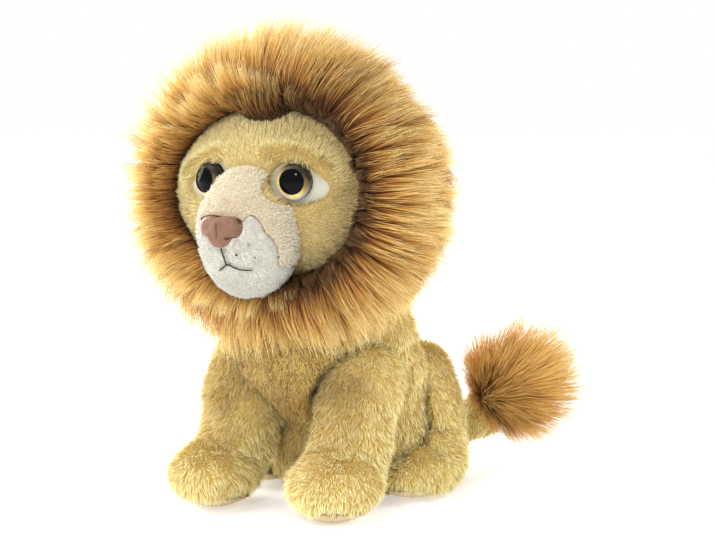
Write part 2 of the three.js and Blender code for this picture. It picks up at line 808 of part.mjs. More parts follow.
function makeTail() {
  const path = tailPath();
  const steps = 6;
  const frames = path.computeFrenetFrames(steps);
  const sections = frames.normals.map((normal, i) => {
    const radius = tailRadius * (1 - 0.12 * Math.sin((Math.PI * i) / steps));
    return {
      centre: path.getPointAt(i / steps),
      first: normal.clone().multiplyScalar(radius),
      second: frames.binormals[i].clone().multiplyScalar(radius),
    };
  });
  addSolid('tail', toSolid(loft(sections, 12)).add(tailRoot(0)), bodyPlush);

  // share of the tuft's length and radius, from the seam to the tip of the hair
  const tuftShares = [[0, 0], [0, 0.28], [0.02, 0.66], [0.15, 0.96], [0.38, 1], [0.68, 0.84], [0.9, 0.48], [1, 0]];
  const profile = tuftShares.map(([along, out]) => [out * tuftRadius, along * tuftLength]);
  const tuft = addMesh('tail_tuft', turned(profile, 20), maneFur);
  const end = path.getTangentAt(1);
  tuft.quaternion.setFromUnitVectors(zAxis, end);
  tuft.position.copy(path.getPointAt(1)).addScaledVector(end, fitGap);
}

makeTorso();
makeSeat();
for (const sideName of Object.keys(sides)) {
  makeForeleg(sideName);
  makeHindLeg(sideName);
}
makeHead();
makeMuzzle();
makeNose();
for (const sideName of Object.keys(sides)) {
  makeEye(sideName);
}
makeMane();
makeTail();

export default group;
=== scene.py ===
from math import cos, radians, sin

import bmesh
import bpy
import numpy as np
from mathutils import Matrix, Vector, noise
from mathutils.bvhtree import BVHTree


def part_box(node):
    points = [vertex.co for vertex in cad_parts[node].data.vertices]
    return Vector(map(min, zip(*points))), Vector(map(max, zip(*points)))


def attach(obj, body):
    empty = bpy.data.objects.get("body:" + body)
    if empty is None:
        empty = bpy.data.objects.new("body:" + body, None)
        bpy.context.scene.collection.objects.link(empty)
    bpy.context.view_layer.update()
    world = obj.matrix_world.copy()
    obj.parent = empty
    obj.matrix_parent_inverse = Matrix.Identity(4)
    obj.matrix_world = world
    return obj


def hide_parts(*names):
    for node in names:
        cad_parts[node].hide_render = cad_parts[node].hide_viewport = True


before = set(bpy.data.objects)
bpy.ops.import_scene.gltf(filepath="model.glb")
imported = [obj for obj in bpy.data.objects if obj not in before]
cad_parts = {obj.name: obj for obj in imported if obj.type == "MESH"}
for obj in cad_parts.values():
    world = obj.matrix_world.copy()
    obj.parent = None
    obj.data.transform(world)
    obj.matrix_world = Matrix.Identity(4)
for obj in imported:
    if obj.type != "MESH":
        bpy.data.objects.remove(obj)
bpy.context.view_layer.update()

mm = 0.001
noise.seed_set(12)  # without it, noise_vector starts from the clock
scene = bpy.context.scene
scene.view_settings.view_transform = "Standard"


# measures read from the frame

def boxOf(node):
    low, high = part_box(node)
    return np.array(low), np.array(high)


headLow, headHigh = boxOf("head")
headDepthShare = 0.7164  # the skull's half depth as a share of its half width
skullRadii = np.array([headHigh[0], headHigh[0] * headDepthShare, (headHigh[2] - headLow[2]) / 2])
skullCentre = np.array([0, headHigh[1] - skullRadii[1], (headHigh[2] + headLow[2]) / 2])
torsoLow, torsoHigh = boxOf("torso")
footZ = boxOf("hind_sole_left")[1][2]
maneForward = 10 * mm
maneCentre = skullCentre - np.array([0, maneForward, 0])
maneHigh = np.maximum(boxOf("mane_left")[1], boxOf("mane_crown")[1])
maneRadii = maneHigh - maneCentre  # the outer form of the whole mane


# small tools for meshes

def smoothStep(values, low, high):
    share = np.clip((values - low) / (high - low), 0, 1)
    return share * share * (3 - 2 * share)


def unitRows(rows):
    return rows / np.maximum(np.linalg.norm(rows, axis=1, keepdims=True), 1e-9)


def dots(first, second):
    return np.sum(first * second, axis=1, keepdims=True)


def alongSkin(ways, normals):
    # the part of each way that lies in the skin
    return unitRows(ways - normals * dots(ways, normals))


def pointsOf(mesh):
    flat = np.empty(len(mesh.vertices) * 3)
    mesh.vertices.foreach_get("co", flat)
    return flat.reshape(-1, 3)


def normalsOf(mesh):
    flat = np.empty(len(mesh.vertices) * 3)
    mesh.vertex_normals.foreach_get("vector", flat)
    return flat.reshape(-1, 3)


def surfaceOf(piece):
    return pointsOf(piece.data), normalsOf(piece.data)


def putPoints(mesh, points):
    mesh.vertices.foreach_set("co", points.ravel())
    mesh.update()


def noiseRows(points, size, seed=0):
    shift = Vector((seed * 7.3, seed * 3.1, seed * 5.7))
    return np.array([noise.noise_vector(Vector(p) / size + shift) for p in points])


def distanceTo(points, line):
    # shortest way from each point to a line of straight pieces
    nearest = np.full(len(points), np.inf)
    for start, end in zip(line[:-1], line[1:]):
        run = end - start
        share = np.clip((points - start) @ run / max(run @ run, 1e-12), 0, 1)
        nearest = np.minimum(nearest, np.linalg.norm(points - start - share[:, None] * run, axis=1))
    return nearest


def finishedMesh(piece):
    # a plain mesh of the piece as its modifiers leave it
    graph = bpy.context.evaluated_depsgraph_get()
    return bpy.data.meshes.new_from_object(piece.evaluated_get(graph))


def freeze(piece):
    shaped = finishedMesh(piece)
    piece.modifiers.clear()
    before = piece.data
    piece.data = shaped
    shaped.name = piece.name
    bpy.data.meshes.remove(before)


def addObject(name, data):
    piece = bpy.data.objects.new(name, data)
    scene.collection.objects.link(piece)
    return piece


def mergedCopy(name, nodes):
    joined = bmesh.new()
    for node in nodes:
        joined.from_mesh(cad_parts[node].data)
    bmesh.ops.remove_doubles(joined, verts=joined.verts, dist=0.01 * mm)
    mesh = bpy.data.meshes.new(name)
    joined.to_mesh(mesh)
    joined.free()
    mesh.materials.clear()
    return addObject(name, mesh)


def evenMesh(skin, grain, smoothing):
    # evenly meshed and rounded
    remesh = skin.modifiers.new("remesh", "REMESH")
    remesh.mode = "VOXEL"
    remesh.voxel_size = grain
    remesh.use_smooth_shade = True
    smooth = skin.modifiers.new("smooth", "SMOOTH")
    smooth.factor = 0.5
    smooth.iterations = smoothing
    freeze(skin)


def skinOf(name, nodes, grain, smoothing):
    # a soft cover over copies of the solids
    skin = mergedCopy(name, nodes)
    evenMesh(skin, grain, smoothing)
    return skin


def treeOf(pieces):
    # one search tree over several objects
    joined = bmesh.new()
    for piece in pieces:
        joined.from_mesh(piece.data)
    tree = BVHTree.FromBMesh(joined)
    joined.free()
    return tree


# camera, floor and light

view = {
    "photoSize": (716, 540),
    "azimuth": 30.0,  # degrees from the front towards the lion's left
    "elevation": 5.0,
    "place": (0.477, -0.808, 0.203),
    "lens": 86.5,
    "sensor": 36.0,
    "aim": (0, -0.02, 0.12),
    "floorSize": 60.0,
    "surround": 0.75,  # the white room's light on the toy
    "lights": {  # place, size and power of each
        "overhead": ((-0.35, -0.45, 1.7), 1.4, 22),
        "left side": ((-1.5, -0.1, 0.6), 1.2, 32),
        "right back": ((1.35, 0.9, 0.8), 1.2, 20),
        "catchlight": ((0.33, -1.32, 0.76), 0.18, 6),
    },
}


def makeCamera():
    data = bpy.data.cameras.new("camera")
    data.lens = view["lens"]
    data.sensor_width = view["sensor"]
    camera = addObject("camera", data)
    turn, tip = radians(view["azimuth"]), radians(view["elevation"])
    back = Vector((sin(turn) * cos(tip), -cos(turn) * cos(tip), sin(tip)))
    camera.location = view["place"]
    camera.rotation_euler = back.to_track_quat("Z", "Y").to_euler()
    scene.camera = camera


def seenOn(tree, line):
    # where points of the photograph, in its pixels, lie on a piece
    width, height = view["photoSize"]
    pixel = view["sensor"] / view["lens"] / width
    turn = scene.camera.rotation_euler.to_matrix()
    spots = []
    for x, y in line:
        ray = turn @ Vector(((x - width / 2) * pixel, (height / 2 - y) * pixel, -1))
        hit = tree.ray_cast(scene.camera.location, ray.normalized())
        if hit[0] is not None:
            spots.append(np.array(hit[0]))
    return np.array(spots)


def dent(skin, line, radius, depth):
    # presses a photographed line into a skin, or swells it where depth is negative
    spots = seenOn(treeOf([skin]), line)
    points, normals = surfaceOf(skin)
    push = depth * np.exp(-(distanceTo(points, spots) / radius) ** 2)
    putPoints(skin.data, points - normals * push[:, None])


def makeLight(name, place, size, power):
    data = bpy.data.lights.new(name, "AREA")
    data.shape = "DISK"
    data.size = size
    data.energy = power
    light = addObject(name, data)
    light.location = place
    light.rotation_euler = (Vector(place) - Vector(view["aim"])).to_track_quat("Z", "Y").to_euler()


def makeStage():
    half = view["floorSize"] / 2
    corners = [(-half, -half, 0), (half, -half, 0), (half, half, 0), (-half, half, 0)]
    mesh = bpy.data.meshes.new("floor")
    mesh.from_pydata(corners, [], [(0, 1, 2, 3)])
    floor = addObject("floor", mesh)
    mesh.materials.append(floorPaper())
    makeRoom()
    for name, (place, size, power) in view["lights"].items():
        makeLight(name, place, size, power)


def floorPaper():
    return newMaterial("floor paper", Roughness=0.9, Specular_IOR_Level=0.1, Base_Color=(0.8, 0.8, 0.8, 1),
                       Emission_Color=(1, 1, 1, 1), Emission_Strength=0.4)[0]


def makeRoom():
    # the room looks white, and lights the toy a little less than it looks
    world = bpy.data.worlds.new("studio")
    world.use_nodes = True
    nodes, links = world.node_tree.nodes, world.node_tree.links
    seen = nodes.new("ShaderNodeLightPath").outputs["Is Camera Ray"]
    level = nodes.new("ShaderNodeMapRange")
    level.inputs["To Min"].default_value = view["surround"]
    level.inputs["To Max"].default_value = 1.0
    links.new(seen, level.inputs["Value"])
    links.new(level.outputs["Result"], nodes["Background"].inputs["Strength"])
    nodes["Background"].inputs["Color"].default_value = (1, 1, 1, 1)
    scene.world = world


# small tools for node trees

def addNode(tree, kind, links=(), **settings):
    made = tree.nodes.new(kind)
    for name, value in settings.items():
        setattr(made, name, value)
    for socket, value in links:
        if isinstance(value, bpy.types.NodeSocket):
            tree.links.new(value, made.inputs[socket])
        else:
            made.inputs[socket].default_value = value
    return made


def calc(tree, operation, first, second=0.0):
    made = addNode(tree, "ShaderNodeMath", [(0, first), (1, second)], operation=operation)
    return made.outputs[0]


def calcVector(tree, operation, first, second=(0, 0, 0)):
    made = addNode(tree, "ShaderNodeVectorMath", [(0, first), (1, second)], operation=operation)
    return made.outputs[0]


def scaled(tree, vector, factor):
    made = addNode(tree, "ShaderNodeVectorMath", [(0, vector), ("Scale", factor)], operation="SCALE")
    return made.outputs[0]


def dotted(tree, first, second):
    made = addNode(tree, "ShaderNodeVectorMath", [(0, first), (1, second)], operation="DOT_PRODUCT")
    return made.outputs["Value"]


def ownPlace(tree):
    return addNode(tree, "ShaderNodeTexCoord").outputs["Object"]


def axesOf(tree, vector):
    return addNode(tree, "ShaderNodeSeparateXYZ", [(0, vector)]).outputs


def shareBetween(tree, value, low, high):
    made = addNode(tree, "ShaderNodeMapRange", [("Value", value), ("From Min", low), ("From Max", high)])
    return made.outputs[0]


def noiseOn(tree, vector, scale, detail):
    made = addNode(tree, "ShaderNodeTexNoise", [("Vector", vector), ("Scale", scale), ("Detail", detail)])
    return made.outputs


def setInputs(modifier, values):
    for item in modifier.node_group.interface.items_tree:
        if item.item_type == "SOCKET" and item.in_out == "INPUT" and item.name in values:
            modifier[item.identifier] = values[item.name]


# colours and materials

def colour(red, green, blue):
    # screen colour from 0 to 255, as Blender's linear colour
    rows = [c / 255 / 12.92 if c / 255 <= 0.04045 else ((c / 255 + 0.055) / 1.055) ** 2.4
            for c in (red, green, blue)]
    return (*rows, 1.0)


def tones(stops):
    # rows of a place and a screen colour, as the stops of a ramp
    return [(place, colour(*tone)) for place, *tone in stops]


def newMaterial(name, **values):
    material = bpy.data.materials.new(name)
    material.use_nodes = True
    shader = material.node_tree.nodes["Principled BSDF"]
    for socket, value in values.items():
        shader.inputs[socket.replace("_", " ")].default_value = value
    return material, material.node_tree


def ramp(tree, factor, stops):
    made = addNode(tree, "ShaderNodeValToRGB", [("Fac", factor)])
    elements = made.color_ramp.elements
    while len(elements) < len(stops):
        elements.new(0.5)
    for element, (place, shade) in zip(elements, stops):
        element.position = place
        element.color = shade
    return made.outputs["Color"]


def blendColours(tree, kind, factor, first, second):
    made = addNode(tree, "ShaderNodeMix", data_type="RGBA", blend_type=kind)
    for socket, value in ((0, factor), (6, first), (7, second)):
        if isinstance(value, bpy.types.NodeSocket):
            tree.links.new(value, made.inputs[socket])
        else:
            made.inputs[socket].default_value = value
    return made.outputs[2]


def paint(material, socket):
    tree = material.node_tree
    tree.links.new(socket, tree.nodes["Principled BSDF"].inputs["Base Color"])


def addRelief(material, height, strength, depth):
    tree = material.node_tree
    bump = addNode(tree, "ShaderNodeBump", [("Strength", strength), ("Distance", depth), ("Height", height)])
    tree.links.new(bump.outputs[0], tree.nodes["Principled BSDF"].inputs["Normal"])


def spottedMaterial(name, deep, base, scale, detail=2.0, **values):
    # one colour with another in fine spots
    material, tree = newMaterial(name, **values)
    spots = noiseOn(tree, ownPlace(tree), scale, detail)["Fac"]
    paint(material, ramp(tree, spots, [(0.3, deep), (0.7, base)]))
    return material, spots


def pileMaterial(name, stops, dark, light=(1.15, 1.15, 1.12), sheen=0.3):
    # the strand's own map holds its shade in U and the way from root to tip in V:
    # stops colour that way, and a low shade multiplies them by dark, a high one by light
    # the shade holds a random tone and, in places, painted light and painted shade
    material, tree = newMaterial(name, Roughness=0.8, Specular_IOR_Level=0.2, Sheen_Weight=sheen,
                                 Sheen_Roughness=0.5, Sheen_Tint=colour(*stops[-1][1:]))
    parts = axesOf(tree, addNode(tree, "ShaderNodeUVMap", uv_map="OFBake").outputs["UV"])
    along = ramp(tree, parts["Y"], tones(stops))
    shade = ramp(tree, parts["X"], [(0.0, (*dark, 1)), (0.5, (1, 1, 1, 1)), (1.0, (*light, 1))])
    paint(material, blendColours(tree, "MULTIPLY", 1.0, along, shade))
    return material


def clothMaterial(name, base, deep, grain=900.0, roughness=0.9):
    # knitted ground, felt or cotton: fine spots with their own relief
    material, spots = spottedMaterial(name, deep, base, grain, 4.0, Roughness=roughness,
                                      Specular_IOR_Level=0.2)
    addRelief(material, spots, 0.5, 0.3 * mm)
    return material


# the pile: one node tree for short plush, curly fleece and long mane

def makePileTree():
    tree = bpy.data.node_groups.new("pile strands", "GeometryNodeTree")
    tree.is_modifier = True
    sockets = (
        ("Skin", "Geometry", None),
        ("Density", "Float", 1000000.0),  # strands on a square metre
        ("Seed", "Int", 1),
        ("Joints", "Int", 4),  # points along a strand
        ("Width", "Float", 0.0004),
        ("Ragged", "Float", 0.3),  # how much shorter the shortest strand is
        ("Clump size", "Float", 0.004),
        ("Clump pull", "Float", 0.4),
        ("Curl", "Float", 0.2),
        ("Curl size", "Float", 0.003),
        ("Stray", "Float", 0.1),
        ("Tilt", "Float", 0.8),
        ("Shade spread", "Float", 0.3),
        ("Floor", "Float", 0.0004),  # no strand goes below this height
        ("Coat", "Material", None),
    )
    for name, kind, value in sockets:
        socket = tree.interface.new_socket(name=name, in_out="INPUT", socket_type="NodeSocket" + kind)
        if value is not None:
            socket.default_value = value
    tree.interface.new_socket(name="Strands", in_out="OUTPUT", socket_type="NodeSocketGeometry")
    given = tree.nodes.new("NodeGroupInput").outputs

    def named(name, kind="FLOAT"):
        made = addNode(tree, "GeometryNodeInputNamedAttribute", [("Name", name)], data_type=kind)
        return made.outputs["Attribute"]

    def times(first, second):
        return calc(tree, "MULTIPLY", first, second)

    def plus(first, second):
        return calcVector(tree, "ADD", first, second)

    def stored(geometry, name, value, kind, domain="POINT"):
        made = addNode(tree, "GeometryNodeStoreNamedAttribute", data_type=kind, domain=domain)
        made.inputs["Name"].default_value = name
        tree.links.new(geometry, made.inputs["Geometry"])
        tree.links.new(value, made.inputs["Value"])
        return made.outputs["Geometry"]

    def chance(low, high, seed):
        made = addNode(tree, "FunctionNodeRandomValue", data_type="FLOAT_VECTOR")
        made.inputs[0].default_value = low
        made.inputs[1].default_value = high
        tree.links.new(calc(tree, "ADD", given["Seed"], seed), made.inputs["Seed"])
        return made.outputs[0]

    # roots on the skin
    density = times(given["Density"], named("coat"))
    scattered = addNode(tree, "GeometryNodeDistributePointsOnFaces",
                        [("Mesh", given["Skin"]), ("Density", density), ("Seed", given["Seed"])])
    position = addNode(tree, "GeometryNodeInputPosition").outputs[0]
    roots = scattered.outputs["Points"]
    for name, value in (("root", position), ("outward", scattered.outputs["Normal"]),
                        ("chance", chance((0, -1, -1), (1, 1, 1), 11)),
                        ("wander", chance((-1, -1, -1), (1, 1, 1), 23))):
        roots = stored(roots, name, value, "FLOAT_VECTOR")

    # one straight line on each root
    line = addNode(tree, "GeometryNodeCurvePrimitiveLine", [("End", (0, 0, 0.001))])
    jointed = addNode(tree, "GeometryNodeResampleCurve",
                      [("Curve", line.outputs[0]), ("Count", given["Joints"])])
    lines = addNode(tree, "GeometryNodeInstanceOnPoints",
                    [("Points", roots), ("Instance", jointed.outputs[0])])
    strands = addNode(tree, "GeometryNodeRealizeInstances", [(0, lines.outputs[0])]).outputs[0]

    # the strand leaves the skin along rise and ends along comb
    along = addNode(tree, "GeometryNodeSplineParameter").outputs["Factor"]
    halfSquare = times(times(along, along), 0.5)
    early = scaled(tree, named("rise", "FLOAT_VECTOR"), calc(tree, "SUBTRACT", along, halfSquare))
    late = scaled(tree, named("comb", "FLOAT_VECTOR"), halfSquare)
    stem = plus(early, late)
    chances = axesOf(tree, named("chance", "FLOAT_VECTOR"))
    cut = calc(tree, "SUBTRACT", 1.0, times(given["Ragged"], chances["X"]))
    length = times(named("reach"), cut)
    root = named("root", "FLOAT_VECTOR")
    place = plus(root, scaled(tree, stem, length))

    # tips lean to the middle of their clump
    cells = addNode(tree, "ShaderNodeTexVoronoi",
                    [("Vector", root), ("Scale", calc(tree, "DIVIDE", 1.0, given["Clump size"]))])
    toMiddle = calcVector(tree, "SUBTRACT", cells.outputs["Position"], root)
    bend = calc(tree, "POWER", along, 1.4)
    place = plus(place, scaled(tree, toMiddle, times(bend, given["Clump pull"])))

    # neighbouring strands curl the same way
    closeness = calc(tree, "DIVIDE", 1.0, given["Curl size"])
    swirl = noiseOn(tree, root, closeness, 1.0)["Color"]
    turn = calcVector(tree, "SUBTRACT", swirl, (0.5, 0.5, 0.5))
    place = plus(place, scaled(tree, turn, times(times(length, given["Curl"]), bend)))
    stray = times(times(length, given["Stray"]), bend)
    place = plus(place, scaled(tree, named("wander", "FLOAT_VECTOR"), stray))

    # the floor stops them
    axes = axesOf(tree, place)
    height = calc(tree, "MAXIMUM", axes["Z"], given["Floor"])
    held = addNode(tree, "ShaderNodeCombineXYZ", [(0, axes["X"]), (1, axes["Y"]), (2, height)])
    moved = addNode(tree, "GeometryNodeSetPosition", [("Geometry", strands), ("Position", held.outputs[0])])

    # the flat of a strand looks outwards, give or take its tilt
    heading = addNode(tree, "GeometryNodeInputTangent").outputs[0]
    outward = named("outward", "FLOAT_VECTOR")
    side = calcVector(tree, "NORMALIZE", calcVector(tree, "CROSS_PRODUCT", heading, outward))
    face = calcVector(tree, "NORMALIZE", calcVector(tree, "CROSS_PRODUCT", side, heading))
    tilted = plus(side, scaled(tree, face, times(chances["Y"], given["Tilt"])))
    strands = stored(moved.outputs[0], "along", along, "FLOAT")
    # the shade brings painted light and painted shade in places; each strand adds a random tone
    shade = calc(tree, "ADD", named("shade"), times(chances["Z"], given["Shade spread"]))
    strands = stored(strands, "toneAndLight", shade, "FLOAT")
    turned = addNode(tree, "GeometryNodeSetCurveNormal", [("Curve", strands), ("Normal", tilted)],
                     mode="FREE")

    # flat tapering blades
    slim = calc(tree, "POWER", calc(tree, "SUBTRACT", 1.04, along), 0.6)
    profile = addNode(tree, "GeometryNodeCurvePrimitiveLine", [("Start", (-0.5, 0, 0)), ("End", (0.5, 0, 0))])
    blades = addNode(tree, "GeometryNodeCurveToMesh", [
        ("Curve", turned.outputs[0]), ("Profile Curve", profile.outputs[0]),
        ("Scale", times(given["Width"], slim))]).outputs[0]
    mapped = addNode(tree, "ShaderNodeCombineXYZ", [(0, named("toneAndLight")), (1, named("along"))]).outputs[0]
    blades = stored(blades, "OFBake", mapped, "FLOAT2", "CORNER")
    blades = addNode(tree, "GeometryNodeSetShadeSmooth", [("Geometry", blades)]).outputs[0]
    whole = addNode(tree, "GeometryNodeRealizeInstances", [(0, blades)]).outputs[0]
    coated = addNode(tree, "GeometryNodeSetMaterial", [("Geometry", whole), ("Material", given["Coat"])])
    addNode(tree, "NodeGroupOutput", [("Strands", coated.outputs[0])])
    return tree


pileTree = makePileTree()
spareNames = ("root", "outward", "chance", "wander", "along", "toneAndLight",
              "rise", "comb", "reach", "shade", "coat")


def setPile(skin, rise, comb, reach, shade, coat):
    # what each point of the skin tells the strands that stand there
    for name, rows in (("rise", unitRows(rise)), ("comb", unitRows(comb))):
        held = skin.data.attributes.new(name, "FLOAT_VECTOR", "POINT")
        held.data.foreach_set("vector", rows.ravel().astype(np.float32))
    for name, rows in (("reach", reach), ("shade", shade), ("coat", coat)):
        held = skin.data.attributes.new(name, "FLOAT", "POINT")
        full = np.broadcast_to(np.asarray(rows, dtype=np.float32), (len(skin.data.vertices),))
        held.data.foreach_set("value", np.ascontiguousarray(full))


def clearSpare(mesh):
    for name in spareNames:
        if name in mesh.attributes:
            mesh.attributes.remove(mesh.attributes[name])


def growPile(skin, name, body, material, look, seed):
    modifier = skin.modifiers.new("pile", "NODES")
    modifier.node_group = pileTree
    setInputs(modifier, {**look, "Seed": seed, "Coat": material})
    mesh = finishedMesh(skin)
    skin.modifiers.remove(modifier)
    clearSpare(mesh)
    mesh.name = name
    pile = addObject(name, mesh)
    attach(pile, body)
    print(name, len(mesh.polygons) * 2, "triangles", flush=True)


def finishSkin(skin, body, nodes, material):
    clearSpare(skin.data)
    skin.data.materials.clear()
    skin.data.materials.append(material)
    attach(skin, body)
    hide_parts(*nodes)


makeCamera()
makeStage()
print("camera and stage", flush=True)


# stuffed covers: cloth blown up a little by its filling

stuffing = {
    "nodes": ("torso", "foreleg_left", "foreleg_right", "hind_leg_left", "hind_leg_right", "tail"),
    "grain": 4.5 * mm,
    "smoothing": 2,
    "slack": 1.6 * mm,  # the cover starts this much inside the solid
    "cap": 2.4 * mm,  # and moves no further than this
    "pressure": 4.0,
    "frames": 20,
    "steps": 5,  # of the simulation in each frame
}


def stuffCovers():
    covers = {}
    for node in stuffing["nodes"]:
        covers[node] = skinOf(node + "_cover", [node], stuffing["grain"], stuffing["smoothing"])
    for cover in covers.values():
        slacken(cover)
    for now in range(1, stuffing["frames"] + 1):
        scene.frame_set(now)
    for cover in covers.values():
        capCover(cover)
    scene.frame_set(1)
    print("stuffed covers", flush=True)
    return covers


def slacken(cover):
    putPoints(cover.data, pointsOf(cover.data) - stuffing["slack"] * normalsOf(cover.data))
    cloth = cover.modifiers.new("cloth", "CLOTH")
    cloth.settings.quality = stuffing["steps"]
    cloth.settings.use_pressure = True
    cloth.settings.uniform_pressure_force = stuffing["pressure"]
    cloth.settings.effector_weights.gravity = 0
    cloth.point_cache.frame_end = stuffing["frames"]


def capCover(cover):
    # the filling presses each point out, but not beyond its cap
    start = pointsOf(cover.data)
    graph = bpy.context.evaluated_depsgraph_get()
    blown = pointsOf(cover.evaluated_get(graph).data)
    move = blown - start
    length = np.linalg.norm(move, axis=1, keepdims=True)
    move *= np.minimum(1, stuffing["cap"] / np.maximum(length, 1e-9))
    low = 1 - smoothStep(start[:, 2], footZ * 0.5, footZ * 1.5)[:, None]  # flat where the sole panels are
    move[:, 2:] = np.maximum(move[:, 2:], -stuffing["slack"] * low - stuffing["cap"] * (1 - low))
    cover.modifiers.clear()
    putPoints(cover.data, start + move)


# short plush on the body, legs and tail

bodyPile = pileMaterial("golden plush", ((0.0, 190, 152, 76), (0.35, 224, 196, 112), (0.75, 242, 224, 156),
                                         (1.0, 250, 244, 204)), (0.3, 0.21, 0.12), (1.08, 1.2, 1.4), 0.6)
bodyBacking = clothMaterial("golden backing", colour(204, 174, 100), colour(176, 146, 78))
solePile = pileMaterial("sole plush", ((0.0, 196, 174, 138), (0.4, 222, 204, 168), (1.0, 238, 224, 196)),
                        (0.86, 0.82, 0.78))
soleBacking = clothMaterial("sole backing", colour(220, 200, 164), colour(196, 172, 136))

bodyLook = {
    "grain": 1.7 * mm,
    "smoothing": 8,
    "reach": 5.0 * mm,
    "shortReach": 4.0 * mm,
    "chestShorter": 0.4,
    "neckCover": 6 * mm,  # how far the plush of the body runs up under the head
    "soleGrain": 0.9 * mm,
    "soleReach": 1.6 * mm,
    "soleBare": 0.5 * mm,  # no fur below this height
    "lift": 0.5,
    "fringeOut": 0.7,  # how far the fur over the soles stands out, for each part that it hangs down
    "swellSize": 13 * mm,  # soft uneven filling
    "swell": 1.5 * mm,
    "legFill": 0.8,
    "torsoFill": 0.85,
    "tailFill": 0.7,
    "tailReach": 0.8,  # share of the reach on the legs
    "limbShade": 0.64,  # a shade of 0.5 leaves the strands' colours as they are
    "torsoShade": 0.62,
    "shadeWander": 0.2,
    "shadeSize": 16 * mm,
    "napWander": 0.6,
    "napSize": 30 * mm,
    # painted shade on what faces forwards and on the chest under the mane, painted light on the paws and
    # shoulders
    "frontDarker": 0.42,
    "chestDarker": 0.54,
    "pawLighter": 0.25,
    "shoulderLighter": 0.5,
    "shoulder": (68 * mm, 86 * mm),  # heights between which the shoulder gets painted light
    "pile": {"Density": 1.55e6, "Joints": 3, "Width": 0.38 * mm, "Ragged": 0.45, "Clump size": 6.5 * mm,
             "Clump pull": 0.22, "Curl": 0.8, "Curl size": 9.0 * mm, "Stray": 0.16, "Tilt": 0.6,
             "Shade spread": 0.2},
    "solePile": {"Density": 1.2e6, "Joints": 3, "Width": 0.34 * mm, "Ragged": 0.3, "Clump size": 2.0 * mm,
                 "Clump pull": 0.2, "Curl": 0.4, "Curl size": 3.0 * mm, "Stray": 0.2, "Tilt": 0.6,
                 "Shade spread": 0.15},
}

# folds and creases of the photograph, in its pixels, with their radius and depth
creases = {
    "foreleg_left": [
        (((338, 457), (355, 457), (374, 461), (392, 467)), 3.2 * mm, 2.2 * mm),
        (((352, 448), (366, 449), (378, 453)), 2.4 * mm, 1.2 * mm),
        (((327, 507), (330, 520)), 3.0 * mm, 2.0 * mm),
        (((366, 486), (374, 500)), 3.0 * mm, 1.2 * mm),
        (((298, 490), (306, 499)), 9 * mm, -2.5 * mm),
        (((360, 497), (370, 489)), 9 * mm, -3.0 * mm),
    ],
    "foreleg_right": [
        (((215, 452), (238, 450), (258, 456)), 3.4 * mm, 1.6 * mm),
        (((186, 484), (190, 500)), 3.2 * mm, 1.4 * mm),
        (((182, 478), (190, 486), (204, 490)), 11 * mm, -3.0 * mm),
        (((226, 352), (214, 396)), 15 * mm, -4.5 * mm),
        (((266, 478), (264, 490)), 7 * mm, 2.5 * mm),
    ],
    "hind_leg_left": [
        (((409, 420), (420, 423), (432, 427), (441, 430)), 3.4 * mm, 3.0 * mm),
        (((440, 376), (438, 392), (437, 408), (437, 424)), 4.0 * mm, 1.3 * mm),
        (((436, 476), (446, 473), (451, 460), (452, 446)), 13 * mm, -5.5 * mm),
        (((431, 452), (440, 470)), 3.0 * mm, 1.2 * mm),
        (((418, 362), (428, 356)), 13 * mm, -6.0 * mm),
    ],
    "tail": [
        (((473, 422), (482, 424), (489, 420)), 14 * mm, -5.0 * mm),
    ],
    "torso": [
        (((228, 352), (243, 372), (262, 388), (279, 402)), 3.6 * mm, 1.8 * mm),
        (((396, 320), (401, 334), (404, 350)), 18 * mm, -7.0 * mm),
    ],
}


def flowDown(points, normals, seed):
    # the nap runs down, wandering a little from place to place
    wander = bodyLook["napWander"] * noiseRows(points, bodyLook["napSize"], seed)
    return alongSkin(np.array([0, -0.25, -1]) + wander, normals)


def unevenFilling(skin, seed):
    points, normals = surfaceOf(skin)
    above = smoothStep(points[:, 2], footZ, footZ * 3)
    swell = bodyLook["swell"] * noiseRows(points, bodyLook["swellSize"], seed)[:, 0] * above
    putPoints(skin.data, points + normals * swell[:, None])


def shapeStuffed(name, node, skin, seed):
    # the cover becomes the finer skin, with the swells and creases of the photograph
    skin.name = name
    evenMesh(skin, bodyLook["grain"], bodyLook["smoothing"])
    unevenFilling(skin, seed)
    for line, radius, depth in creases.get(node, ()):
        dent(skin, line, radius, depth)


def unevenShade(points, seed):
    return bodyLook["shadeWander"] * noiseRows(points, bodyLook["shadeSize"], seed)[:, 0]


def plushOnLimb(name, node, body, skin, seed, reachShare=1.0):
    shapeStuffed(name, node, skin, seed)
    points, normals = surfaceOf(skin)
    height = points[:, 2]
    flow = flowDown(points, normals, seed)
    low = smoothStep(height, footZ * 0.2, footZ * 2.2)
    reach = bodyLook["shortReach"] + (bodyLook["reach"] * reachShare - bodyLook["shortReach"]) * low
    coat = (height >= footZ * 0.1) * 1.0
    # painted shade on what faces forwards, painted light on the paws and the shoulders
    front = smoothStep(-normals[:, 1], 0.4, 0.95) * smoothStep(height, 3 * footZ, 8 * footZ)
    shade = bodyLook["limbShade"] + unevenShade(points, seed + 5) - bodyLook["frontDarker"] * front
    shade += bodyLook["pawLighter"] * (1 - smoothStep(height, 3 * footZ, 9 * footZ))
    shade += bodyLook["shoulderLighter"] * smoothStep(height, *bodyLook["shoulder"])

    # a fringe hangs over the edge of the sole
    hang = (1 - smoothStep(height, footZ * 0.4, footZ * 1.6))[:, None]
    level = unitRows(normals * np.array([1, 1, 0.01]))
    comb = (flow + bodyLook["lift"] * normals) * (1 - hang)
    comb += (level * bodyLook["fringeOut"] + np.array([0, 0, -1.0])) * hang
    setPile(skin, normals + 0.6 * flow, comb, reach, shade, coat)
    growPile(skin, name + "_pile", body, bodyPile, bodyLook["pile"], seed)
    finishSkin(skin, body, [node], bodyBacking)


